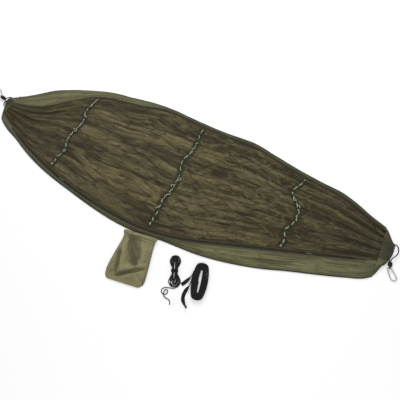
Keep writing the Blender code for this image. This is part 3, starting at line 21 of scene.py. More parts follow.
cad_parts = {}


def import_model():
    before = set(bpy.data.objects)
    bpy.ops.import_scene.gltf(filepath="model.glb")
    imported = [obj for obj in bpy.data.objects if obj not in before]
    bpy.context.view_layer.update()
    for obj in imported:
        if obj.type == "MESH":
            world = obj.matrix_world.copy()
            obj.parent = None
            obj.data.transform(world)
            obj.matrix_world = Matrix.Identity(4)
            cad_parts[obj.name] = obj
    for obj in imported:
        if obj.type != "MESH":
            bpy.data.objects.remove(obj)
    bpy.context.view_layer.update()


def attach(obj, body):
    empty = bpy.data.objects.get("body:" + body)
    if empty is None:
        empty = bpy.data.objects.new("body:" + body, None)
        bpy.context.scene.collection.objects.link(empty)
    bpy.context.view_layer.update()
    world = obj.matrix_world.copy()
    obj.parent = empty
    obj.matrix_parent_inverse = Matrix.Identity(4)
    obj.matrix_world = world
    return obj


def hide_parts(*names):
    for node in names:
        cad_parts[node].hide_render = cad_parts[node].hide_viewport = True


LOG = logging.getLogger("hammock_tent")
Table = Sequence[tuple[float, float]]
Colour = tuple[float, float, float]
Point = tuple[float, float, float]
Piece = bpy.types.Object
Socket = bpy.types.NodeSocket

TOUCH = 0.0003
"""The clearance between two pieces that lie against each other."""
WALL_RELIEF = 0.3
"""The relief kept on a sheet's walls and underside."""

# The outline and the seam: shares of the half length, and shares of the reach there.
FAR_TABLE = (
    (-1.00, 0.06), (-0.94, 0.11), (-0.87, 0.27), (-0.80, 0.47), (-0.72, 0.62), (-0.62, 0.76),
    (-0.52, 0.87), (-0.42, 0.92), (-0.29, 0.985), (-0.18, 1.0), (-0.05, 0.972), (0.10, 0.955),
    (0.26, 0.972), (0.36, 0.91), (0.50, 0.82), (0.62, 0.765), (0.72, 0.73), (0.80, 0.645),
    (0.87, 0.545), (0.94, 0.465), (1.0, 0.36),
)
NEAR_TABLE = (
    (-1.00, 0.03), (-0.94, 0.29), (-0.88, 0.41), (-0.80, 0.505), (-0.70, 0.635), (-0.60, 0.738),
    (-0.50, 0.813), (-0.40, 0.872), (-0.28, 0.938), (-0.16, 0.985), (-0.06, 0.996), (0.02, 0.975),
    (0.08, 0.955), (0.16, 0.942), (0.25, 0.925), (0.36, 0.872), (0.50, 0.765), (0.62, 0.638),
    (0.74, 0.52), (0.84, 0.414), (0.92, 0.31), (1.0, 0.08),
)
SEAM_TABLE = (
    (-0.96, -0.30), (-0.90, -0.02), (-0.84, 0.14), (-0.79, 0.24), (-0.75, 0.38), (-0.70, 0.56),
    (-0.63, 0.74), (-0.57, 0.83), (-0.50, 0.855), (-0.40, 0.87), (-0.33, 0.875), (-0.27, 0.915),
    (-0.20, 0.945), (0.0, 0.95), (0.9, 0.92),
)
# The cross lines: where each one's far and near end lie, and how it wanders along X between them.
CROSS_ENDS = ((-0.5672, -0.5454), (-0.0046, 0.0099), (0.5305, 0.5649))
CROSS_WANDER = (
    (0.0, -0.010, -0.016, 0.006, -0.004, -0.012, 0.008, 0.004, 0.0),
    (0.0, 0.006, 0.012, -0.010, 0.008, 0.012, -0.006, 0.006, 0.0),
    (0.0, -0.012, -0.036, 0.004, 0.026, 0.018, -0.010, 0.004, 0.0),
)
# Routes from a knot, from the hank's middle and from the coil's middle.
RIGHT_ROPE = (
    (0.0020, 0.0350, 0.0170), (0.0110, 0.0490, 0.0140), (0.0225, 0.0720, 0.0110),
    (0.0250, 0.0980, 0.0090), (0.0150, 0.1200, 0.0085), (-0.0030, 0.1240, 0.0085),
    (-0.0170, 0.1060, 0.0085), (-0.0270, 0.0760, 0.0085), (-0.0310, 0.0500, 0.0080),
    (-0.0250, 0.0360, 0.0072), (-0.0130, 0.0330, 0.0060),
)
LEFT_ROPE = (
    (0.0240, -0.0020, 0.0190), (0.0300, 0.0080, 0.0170), (0.0350, 0.0190, 0.0135),
    (0.0440, 0.0260, 0.0100), (0.0550, 0.0220, 0.0085), (0.0620, 0.0060, 0.0085),
    (0.0630, -0.0160, 0.0085), (0.0580, -0.0360, 0.0085), (0.0460, -0.0460, 0.0080),
    (0.0320, -0.0410, 0.0068), (0.0250, -0.0260, 0.0058), (0.0240, -0.0100, 0.0056),
)
HANK_TAIL = (
    (0.0200, -0.0920, 0.0023), (0.0020, -0.0980, 0.0023), (-0.0130, -0.1080, 0.0023),
    (-0.0170, -0.1240, 0.0023), (-0.0060, -0.1350, 0.0023), (0.0080, -0.1350, 0.0023),
    (0.0180, -0.1240, 0.0023), (0.0140, -0.1100, 0.0023), (0.0030, -0.1100, 0.0032),
    (0.0000, -0.1220, 0.0058), (0.0030, -0.1350, 0.0074), (0.0120, -0.1450, 0.0048),
    (0.0250, -0.1490, 0.0023), (0.0400, -0.1500, 0.0023), (0.0520, -0.1580, 0.0023),
    (0.0570, -0.1720, 0.0023),
)
STRAP_TAIL_LONG = (
    (-0.0398, -0.0306), (-0.0425, -0.0515), (-0.0465, -0.0760), (-0.0465, -0.1010),
    (-0.0385, -0.1240), (-0.0215, -0.1420), (-0.0015, -0.1555),
)
STRAP_TAIL_SHORT = ((-0.0575, -0.0060), (-0.0675, -0.0310), (-0.0805, -0.0560))
# The sack's main folds: start and end in shares across and along it, height, half width and bow.
SACK_FOLDS = (
    ((-0.80, 0.10), (-0.50, 0.52), 1.1, 0.05, 0.04),
    ((-0.80, 0.02), (0.72, 0.84), -1.25, 0.15),
    ((-0.52, 0.12), (0.80, 0.70), 0.7, 0.045, 0.02),
    ((-0.62, 0.82), (0.97, 0.54), 1.1, 0.04, 0.02),
    ((-0.68, 0.94), (1.05, 0.60), -1.2, 0.042, 0.02),
    ((-0.36, 0.96), (0.92, 0.70), 0.8, 0.035),
    ((-0.90, 0.36), (-0.44, 0.92), -1.0, 0.09, -0.03),
    ((-0.62, 0.48), (-0.34, 0.74), 0.7, 0.05),
    ((0.40, 0.82), (0.95, 0.94), 0.6, 0.04),
    ((0.34, 0.16), (0.72, 0.50), 0.5, 0.07, 0.02),
)
# How far each strap tail is turned down, from 0 on its edge to 1 flat, at shares of its length.
STRAP_LAY_LONG = ((0.0, 0.0), (0.16, 0.0), (0.42, 0.94), (0.68, 0.94), (0.88, 0.25), (1.0, 0.2))
STRAP_LAY_SHORT = ((0.0, 0.0), (0.22, 0.0), (0.75, 0.94), (1.0, 0.94))


class Side(Enum):
    """The two ends of the hammock, and the two sliders of its zip."""

    LEFT = "left"
    RIGHT = "right"


def ease(share: np.ndarray | float) -> np.ndarray | float:
    """Returns 0 to 1 with a soft start and end.

    Args:
        share: How far along, clipped to 0 and 1.

    Returns:
        The eased share.
    """
    clipped = np.clip(share, 0.0, 1.0)
    return clipped * clipped * (3 - 2 * clipped)


def bump_up(share: np.ndarray | float) -> np.ndarray | float:
    """Returns a round hump over a share: 0 at 0 and at 1, and 1 halfway."""
    return np.sqrt(np.clip(np.sin(math.pi * np.clip(share, 0, 1)), 0, 1))


def hermite(t: np.ndarray, span: np.ndarray | float, ends: Sequence[np.ndarray | float],
            slopes: Sequence[np.ndarray | float]) -> np.ndarray:
    """Returns a curve that leaves one value and meets another at given slopes.

    Args:
        t: Shares of the way.
        span: The length of the way.
        ends: The value at its start and at its end.
        slopes: The slope at its start and at its end.

    Returns:
        The value at each share.
    """
    return ((2 * t**3 - 3 * t**2 + 1) * ends[0] + (t**3 - 2 * t**2 + t) * span * slopes[0]
            + (3 * t**2 - 2 * t**3) * ends[1] + (t**3 - t**2) * span * slopes[1])


def as_rows(points: Iterable[Sequence[float]]) -> np.ndarray:
    """Returns points as an array, one row each."""
    return np.array([tuple(p) for p in points], dtype=float)


def distances(line: np.ndarray) -> np.ndarray:
    """Returns how far along a line each of its points lies."""
    return np.concatenate(([0.0], np.cumsum(np.linalg.norm(np.diff(line, axis=0), axis=1))))


class Profile:
    """A smooth curve through a table of places and values, read at any number of places."""

    SAMPLES = 1600

    def __init__(self, table: Table) -> None:
        """Samples the curve once.

        Args:
            table: Rows of (place, value), the places rising.
        """
        places, values = np.array(list(table), dtype=float).T
        before = np.concatenate(([2 * places[0] - places[1]], places[:-1]))
        after = np.concatenate((places[1:], [2 * places[-1] - places[-2]]))
        value_before = np.concatenate(([2 * values[0] - values[1]], values[:-1]))
        value_after = np.concatenate((values[1:], [2 * values[-1] - values[-2]]))
        slopes = (value_after - value_before) / (after - before)
        self.at = np.linspace(places[0], places[-1], self.SAMPLES)
        index = np.clip(np.searchsorted(places, self.at, side="right") - 1, 0, len(places) - 2)
        span = places[index + 1] - places[index]
        t = (self.at - places[index]) / span
        self.values = hermite(t, span, (values[index], values[index + 1]), (slopes[index], slopes[index + 1]))

    def __call__(self, at: np.ndarray | float) -> np.ndarray | float:
        """Returns the curve's value at each place, held level past its ends."""
        return np.interp(at, self.at, self.values)

    @classmethod
    def even(cls, values: Sequence[float]) -> Profile:
        """Makes a curve through values spread evenly from 0 to 1."""
        return cls([(i / (len(values) - 1), value) for i, value in enumerate(values)])


def smooth_route(points: Iterable[Sequence[float]], spacing: float, cyclic: bool = False) -> list[Vector]:
    """Reads a smooth curve through a route at an even spacing.

    Args:
        points: The route's points.
        spacing: The distance between the points returned.
        cyclic: Whether the route closes on itself.

    Returns:
        Points along the curve.
    """
    rows = [Vector(p) for p in points]
    count, per_span = len(rows), 16
    fine: list[Vector] = []
    for i in range(count if cyclic else count - 1):
        p1, p2 = rows[i], rows[(i + 1) % count]
        p0 = rows[(i - 1) % count] if cyclic or i else 2 * p1 - p2
        p3 = rows[(i + 2) % count] if cyclic or i + 2 < count else 2 * p2 - p1
        for step in range(per_span):
            t = step / per_span
            fine.append(0.5 * (2 * p1 + (p2 - p0) * t + (2 * p0 - 5 * p1 + 4 * p2 - p3) * t * t
                               + (3 * p1 - 3 * p2 + p3 - p0) * t**3))
    fine.append(rows[0].copy() if cyclic else rows[-1].copy())
    line = as_rows(fine)
    reach = distances(line)
    steps = max(2, round(reach[-1] / spacing))
    wanted = np.linspace(0, reach[-1], steps + 1)
    out = [Vector([float(np.interp(w, reach, line[:, k])) for k in range(3)]) for w in wanted]
    return out[:-1] if cyclic else out


def route_length(points: Sequence[Vector]) -> float:
    """Returns the length of a line of points."""
    return sum((b - a).length for a, b in zip(points, points[1:]))


@dataclass(frozen=True)
class Plan:
    """The hammock's outline and its inner lines, as they lie on the floor."""

    half_length: float = 1.31
    gather_inset: float = 0.078
    end_run: float = 0.05
    far_reach: float = 0.402
    near_reach: float = 0.452
    zip_half_trough: float = 0.0068
    cloth_top: float = 0.006
    net_seat: float = 0.0083
    zip_left: float = -0.8473
    zip_lowest: float = -0.0221
    zip_arc_end: float = -0.1145
    zip_run_start: float = 0.2290
    zip_right: float = 0.8931
    zip_low_reach: float = 0.9358
    zip_left_reach: float = 0.3946
    zip_start_reach: float = 0.7788
    zip_right_reach: float = 0.1113
    cross_flat_half: float = 0.022
    cross_hold: float = 2.4
    cross_fade: float = 0.17
    far_shares: Table = FAR_TABLE
    near_shares: Table = NEAR_TABLE
    seam_shares: Table = SEAM_TABLE
    cross_end_shares: tuple[tuple[float, float], ...] = CROSS_ENDS
    cross_wander: tuple[tuple[float, ...], ...] = CROSS_WANDER

    def __post_init__(self) -> None:
        """Samples the outline curves once."""
        keep = object.__setattr__
        keep(self, "_far", Profile(self.far_shares))
        keep(self, "_near", Profile(self.near_shares))
        keep(self, "_seam", Profile(self.seam_shares))
        keep(self, "_wander", [Profile.even(row) for row in self.cross_wander])

    @property
    def cloth_end(self) -> float:
        """How far the open cloth reaches from the middle before it is gathered."""
        return self.half_length - self.gather_inset

    def far(self, x: np.ndarray | float) -> np.ndarray | float:
        """Returns the far edge's y."""
        return self.far_reach * self._far(np.asarray(x) / self.half_length)

    def near(self, x: np.ndarray | float) -> np.ndarray | float:
        """Returns the near edge's y."""
        return -self.near_reach * self._near(np.asarray(x) / self.half_length)

    def seam(self, x: np.ndarray | float) -> np.ndarray | float:
        """Returns the y of the seam between the net and the far band."""
        return self.far(x) * self._seam(np.asarray(x) / self.half_length)

    def zip_line(self, x: np.ndarray | float) -> np.ndarray | float:
        """Returns the zip's y: an arc on the narrow side and a straight run on the blunt side."""
        x = np.asarray(x, dtype=float)
        half, reach = self.half_length, self.near_reach
        left, lowest, arc_end = half * self.zip_left, half * self.zip_lowest, half * self.zip_arc_end
        start, right = half * self.zip_run_start, half * self.zip_right
        sag = (self.zip_low_reach - self.zip_left_reach) * reach
        radius = ((left - lowest) ** 2 + sag**2) / (2 * sag)
        top = radius - self.zip_low_reach * reach
        start_y = -self.zip_start_reach * reach
        slope = (-self.zip_right_reach * reach - start_y) / (right - start)
        arc = top - np.sqrt(np.maximum(radius**2 - (x - lowest) ** 2, 0))
        line = start_y + slope * (x - start)
        y0 = top - math.sqrt(radius**2 - (arc_end - lowest) ** 2)
        span = start - arc_end
        t = np.clip((x - arc_end) / span, 0, 1)
        joined = hermite(t, span, (y0, start_y), ((arc_end - lowest) / (top - y0), slope))
        return np.where(x <= arc_end, arc, np.where(x >= start, line, joined))

    @property
    def cross_lines(self) -> list[tuple[float, float]]:
        """The x at the far and near end of each cross line."""
        return [(far * self.half_length, near * self.half_length) for far, near in self.cross_end_shares]

    def cross_shift(self, x: np.ndarray, v: np.ndarray) -> np.ndarray:
        """Returns how far the cross lines' wandering moves the net's grid along X.

        Args:
            x: Places along the hammock.
            v: Shares from the zip side to the seam side.

        Returns:
            The move along X at each place.
        """
        total = np.zeros(np.broadcast(x, v).shape)
        for (far_x, near_x), wander in zip(self.cross_lines, self._wander):
            middle, lean = (far_x + near_x) / 2, far_x - near_x
            near = np.abs(x - middle) - self.cross_hold * self.cross_flat_half
            weight = 1 - ease(near / self.cross_fade)
            total = total + weight * (lean * (v - 0.5) + wander(1 - v) * self.half_length)
        return total

    def net_point(self, x: np.ndarray, v: np.ndarray) -> tuple[np.ndarray, np.ndarray]:
        """Returns the net's plan position at a station and a share of its width."""
        near, far = self.zip_line(x) + self.zip_half_trough + TOUCH, self.seam(x) - TOUCH
        return x + self.cross_shift(x, v) * bump_up(v), near + (far - near) * v

    def flatness(self, x: np.ndarray) -> np.ndarray:
        """Returns 0 on a cross line and 1 away from it."""
        least = np.min([np.abs(x - (a + b) / 2) for a, b in self.cross_lines], axis=0)
        return ease((least / self.cross_flat_half - 0.55) / 0.9)

    def end_fade(self, x: np.ndarray) -> np.ndarray:
        """Returns 1 over the cloth and 0 at its two gathered ends."""
        return ease((self.cloth_end - np.abs(x)) / self.end_run)


PLAN = Plan()


def deselect_all() -> None:
    """Clears the selection, because operators act on all that is selected."""
    for item in bpy.context.selected_objects:
        item.select_set(False)


def add_object(name: str, mesh: bpy.types.Mesh, smooth: bool = True) -> Piece:
    """Links a mesh to the scene as a piece at the origin.

    Args:
        name: The piece's name.
        mesh: Its mesh, already in place.
        smooth: Whether its faces are shaded smooth.

    Returns:
        The new object.
    """
    made = bpy.data.objects.new(name, mesh)
    bpy.context.scene.collection.objects.link(made)
    if smooth:
        mesh.polygons.foreach_set("use_smooth", [True] * len(mesh.polygons))
    return made


def mesh_from_arrays(name: str, points: np.ndarray, faces: Sequence[Sequence[int]],
                     uvs: np.ndarray | None) -> bpy.types.Mesh:
    """Makes a mesh with one UV pair for each vertex.

    Args:
        name: The mesh's name.
        points: Vertex places, one row each.
        faces: Vertex numbers of each face.
        uvs: A UV pair for each vertex, in metres, or None for a mesh without a UV layer.

    Returns:
        The mesh.
    """
    mesh = bpy.data.meshes.new(name)
    mesh.from_pydata(points.tolist(), [], [tuple(face) for face in faces])
    if uvs is not None:
        layer = mesh.uv_layers.new(name="UVMap")
        loops = np.empty(len(mesh.loops), dtype=np.int32)
        mesh.loops.foreach_get("vertex_index", loops)
        layer.data.foreach_set("uv", np.asarray(uvs)[loops].ravel())
    mesh.validate()
    return mesh


def grid_faces(rows: int, columns: int, wrap_rows: bool = False,
               wrap_columns: bool = False) -> list[tuple[int, ...]]:
    """Returns the quads of a grid of vertices numbered row by row."""
    faces = []
    for i in range(rows if wrap_rows else rows - 1):
        k = (i + 1) % rows
        for j in range(columns if wrap_columns else columns - 1):
            m = (j + 1) % columns
            faces.append((i * columns + j, k * columns + j, k * columns + m, i * columns + m))
    return faces


def end_caps(rows: int, columns: int) -> list[tuple[int, ...]]:
    """Returns the two faces that close a tube of rings numbered ring by ring."""
    total = rows * columns
    return [tuple(range(columns)), tuple(reversed(range(total - columns, total)))]


def recalculate(made: Piece) -> None:
    """Turns the faces of a closed mesh outwards."""
    bm = bmesh.new()
    bm.from_mesh(made.data)
    bmesh.ops.recalc_face_normals(bm, faces=bm.faces)
    bm.to_mesh(made.data)
    bm.free()


def closed_piece(name: str, points: np.ndarray, faces: Sequence[Sequence[int]],
                 uvs: np.ndarray | None = None, smooth: bool = True) -> Piece:
    """Makes a piece of a closed mesh, its faces turned outwards.

    Args:
        name: The piece's name.
        points: Vertex places, one row each.
        faces: Vertex numbers of each face.
        uvs: A UV pair for each vertex, in metres.
        smooth: Whether its faces are shaded smooth.

    Returns:
        The piece.
    """
    made = add_object(name, mesh_from_arrays(name, points, faces, uvs), smooth)
    recalculate(made)
    return made


def set_relief(made: Piece, values: np.ndarray) -> None:
    """Keeps a 0 to 1 value at each vertex, low in the hollows, for the finish to read: the cloth and net
    finishes paint it as shade where low and highlight where high.
    """
    layer = made.data.attributes.new("relief", "FLOAT", "POINT")
    layer.data.foreach_set("value", np.clip(values, 0, 1).astype(np.float32))


def slab(name: str, top: np.ndarray, bottom: float, relief: np.ndarray,
         lay: np.ndarray | None = None) -> Piece:
    """Makes a sheet of cloth that lies on a level: a shaped top, thin walls and a level underside.

    Args:
        name: The piece's name.
        top: Top points, (columns, rows, 3), the rows running from the near side to the far side.
        bottom: The z of its underside.
        relief: The value kept at each top vertex.
        lay: A UV pair for each top vertex, or nothing for its plan place.

    Returns:
        The sheet's object, closed and facing out.
    """
    columns, rows = top.shape[:2]
    low_near, low_far = top[:, 0].copy(), top[:, -1].copy()
    low_near[:, 2] = low_far[:, 2] = bottom
    points = np.concatenate((top.reshape(-1, 3), low_near, low_far))
    count = columns * rows
    near, far = range(count, count + columns), range(count + columns, count + 2 * columns)
    faces = grid_faces(columns, rows)
    for i in range(columns - 1):
        faces.append((i * rows, near[i], near[i + 1], (i + 1) * rows))
        faces.append((i * rows + rows - 1, (i + 1) * rows + rows - 1, far[i + 1], far[i]))
        faces.append((near[i], far[i], far[i + 1], near[i + 1]))
    last = (columns - 1) * rows
    faces.append((near[0], *range(rows), far[0]))
    faces.append((far[-1], *reversed(range(last, last + rows)), near[-1]))
    plan = top[:, :, :2] if lay is None else lay
    uvs = np.concatenate((plan.reshape(-1, 2), plan[:, 0], plan[:, -1]))
    made = closed_piece(name, points, faces, uvs)
    set_relief(made, np.concatenate((relief.ravel(), np.full(2 * columns, WALL_RELIEF))))
    return made


def frames_along(points: np.ndarray, cyclic: bool) -> tuple[np.ndarray, np.ndarray]:
    """Carries a level pair of side directions along a line without twist.

    Args:
        points: The line's points.
        cyclic: Whether it closes on itself.

    Returns:
        The two side directions at each point.
    """
    count = len(points)
    if cyclic:
        along = np.roll(points, -1, axis=0) - np.roll(points, 1, axis=0)
    else:
        along = np.gradient(points, axis=0)
    along /= np.linalg.norm(along, axis=1)[:, None]
    first = np.cross(along[0], (0, 0, 1.0))
    if np.linalg.norm(first) < 1e-6:
        first = np.array((1.0, 0, 0))
    sides = np.empty_like(points)
    side = first / np.linalg.norm(first)
    for i in range(count):
        side = side - along[i] * np.dot(side, along[i])
        side /= np.linalg.norm(side)
        sides[i] = side
    ups = np.cross(sides, along)
    if cyclic:
        closing = sides[-1] - along[0] * np.dot(sides[-1], along[0])
        closing /= np.linalg.norm(closing)
        turn = math.atan2(np.dot(closing, ups[0]), np.dot(closing, sides[0]))
        share = -turn * np.arange(count) / count
        new_sides = sides * np.cos(share)[:, None] + ups * np.sin(share)[:, None]
        ups = ups * np.cos(share)[:, None] - sides * np.sin(share)[:, None]
        sides = new_sides
    return sides, ups


def sweep(name: str, line: Sequence[Sequence[float]], section: Sequence[tuple[float, float]],
          scale: Sequence[float] | None = None, cyclic: bool = False, upright: bool = False) -> Piece:
    """Carries a closed section along a line, with UVs in metres: U along it, V round it.

    Args:
        name: The piece's name.
        line: The points that it follows.
        section: The section's points as (side, up), going round once.
        scale: A size for each point of the line, or nothing for 1 throughout.
        cyclic: Whether the line closes on itself.
        upright: Whether the section's up stays the world's Z.

    Returns:
        The new object, closed and facing out.
    """
    points, outline = as_rows(line), as_rows(section)
    sides, ups = frames_along(points, cyclic)
    if upright:
        ups = np.tile((0, 0, 1.0), (len(points), 1))
        flat = np.gradient(points, axis=0)
        flat[:, 2] = 0
        flat /= np.linalg.norm(flat, axis=1)[:, None]
        sides = np.stack((flat[:, 1], -flat[:, 0], np.zeros(len(points))), axis=1)
    sizes = np.ones(len(points)) if scale is None else np.asarray(scale)
    rings = (points[:, None] + sides[:, None] * (outline[None, :, :1] * sizes[:, None, None])
             + ups[:, None] * (outline[None, :, 1:] * sizes[:, None, None]))
    rows, columns = len(points), len(outline)
    reach, round_reach = distances(points), distances(np.concatenate((outline, outline[:1])))
    faces = grid_faces(rows, columns, wrap_rows=cyclic, wrap_columns=True)
    if not cyclic:
        faces += end_caps(rows, columns)
    mesh = bpy.data.meshes.new(name)
    mesh.from_pydata(rings.reshape(-1, 3).tolist(), [], faces)
    layer = mesh.uv_layers.new(name="UVMap")
    girth = round_reach[-1]
    end_reach = reach[-1] + (np.linalg.norm(points[0] - points[-1]) if cyclic else 0)
    uv = []
    for face in mesh.polygons:
        corners = [(v // columns, v % columns) for v in face.vertices]
        wraps_row = cyclic and {0, rows - 1} <= {r for r, _ in corners}
        wraps_column = {0, columns - 1} <= {c for _, c in corners} and len(corners) == 4
        for row, column in corners:
            u = end_reach if wraps_row and row == 0 else reach[row]
            v = girth if wraps_column and column == 0 else round_reach[column]
            uv.extend((u, v))
    layer.data.foreach_set("uv", uv)
    made = add_object(name, mesh)
    recalculate(made)
    return made


def oval_section(width: float, height: float, sides: int) -> list[tuple[float, float]]:
    """Returns the points of an oval section."""
    turns = [2 * math.pi * k / sides for k in range(sides)]
    return [(width / 2 * math.cos(turn), height / 2 * math.sin(turn)) for turn in turns]


def round_section(diameter: float, sides: int) -> list[tuple[float, float]]:
    """Returns the points of a round section."""
    return oval_section(diameter, diameter, sides)


def band_section(low: float, high: float, bottom: float, top: float,
                 crown: float = 0.0) -> list[tuple[float, float]]:
    """Returns a flat band's section with softened edges.

    Args:
        low: How far to the right of the line its left edge lies.
        high: How far to the right of the line its right edge lies.
        bottom: The height of its underside.
        top: The height of its top.
        crown: How far its middle stands above its edges.

    Returns:
        The section's points.
    """
    width, soft = high - low, min(0.3 * (top - bottom), 0.0006)
    ridge = [(low + width * s, top - crown * (2 * s - 1) ** 2) for s in (0.9, 0.7, 0.5, 0.3, 0.1)]
    return [(low + soft, bottom), (high - soft, bottom), (high, bottom + soft), (high, top - crown - soft),
            (high - soft, top - crown), *ridge, (low + soft, top - crown), (low, top - crown - soft),
            (low, bottom + soft)]


def offset_line(line: np.ndarray, offset: np.ndarray | float) -> np.ndarray:
    """Moves a line sideways to its left, in plan."""
    along = np.gradient(line[:, :2], axis=0)
    along /= np.linalg.norm(along, axis=1)[:, None]
    moved = line.copy()
    shift = np.broadcast_to(offset, len(line))
    moved[:, 0] -= along[:, 1] * shift
    moved[:, 1] += along[:, 0] * shift
    return moved


@dataclass(frozen=True)
class Crease:
    """One fold in a cloth: a soft ridge from one point to another."""

    start: tuple[float, float]
    end: tuple[float, float]
    height: float
    width: float
    bow: float = 0.0


@dataclass
class CreaseField:
    """A set of folds, read as one height over a plan."""

    # A fold's reach past its ends and its tapered share, then its steep flank, its gentle one and its crest.
    OVERRUN = 0.05
    TAPER = 0.3
    STEEP = 1.7
    GENTLE = 0.8
    POINTED = 1.6

    creases: list[Crease] = field(default_factory=list)

    def scatter(self, seed: int, count: int, box: tuple[float, float, float, float],
                turn: tuple[float, float], length: tuple[float, float], height: tuple[float, float],
                width: tuple[float, float]) -> CreaseField:
        """Adds folds at seeded places.

        Args:
            seed: The seed of their places and sizes.
            count: How many.
            box: Low x, low y, high x and high y of their middles.
            turn: The least and greatest angle to +X, in degrees.
            length: The least and greatest length.
            height: The least and greatest height.
            width: The least and greatest half width.

        Returns:
            The field itself.
        """
        draw = np.random.default_rng(seed)
        for _ in range(count):
            middle = np.array((draw.uniform(box[0], box[2]), draw.uniform(box[1], box[3])))
            angle = math.radians(draw.uniform(*turn))
            reach = draw.uniform(*length) / 2
            along = np.array((math.cos(angle), math.sin(angle))) * reach
            bow = draw.uniform(-0.12, 0.12) * reach
            self.creases.append(Crease(tuple(middle - along), tuple(middle + along), draw.uniform(*height),
                                       draw.uniform(*width), bow))
        return self

    def height(self, x: np.ndarray, y: np.ndarray) -> np.ndarray:
        """Adds up the folds.

        Args:
            x: Places along the cloth.
            y: Places across it.

        Returns:
            The height at each place.
        """
        total = np.zeros(x.shape)
        for crease in self.creases:
            start, end = np.array(crease.start), np.array(crease.end)
            along = end - start
            reach = float(np.linalg.norm(along))
            along /= reach
            dx, dy = x - start[0], y - start[1]
            t = (dx * along[0] + dy * along[1]) / reach
            inside = (t > -self.OVERRUN) & (t < 1 + self.OVERRUN)
            if not inside.any():
                continue
            tt = t[inside]
            away = dy[inside] * along[0] - dx[inside] * along[1] - crease.bow * 4 * tt * (1 - tt)
            taper = ease(tt / self.TAPER) * ease((1 - tt) / self.TAPER)
            s = away / (crease.width * (0.6 + 0.6 * taper))
            s = np.where(s > 0, s * self.STEEP, s * self.GENTLE)
            total[inside] += crease.height * taper / (1 + s * s) ** self.POINTED
        return total


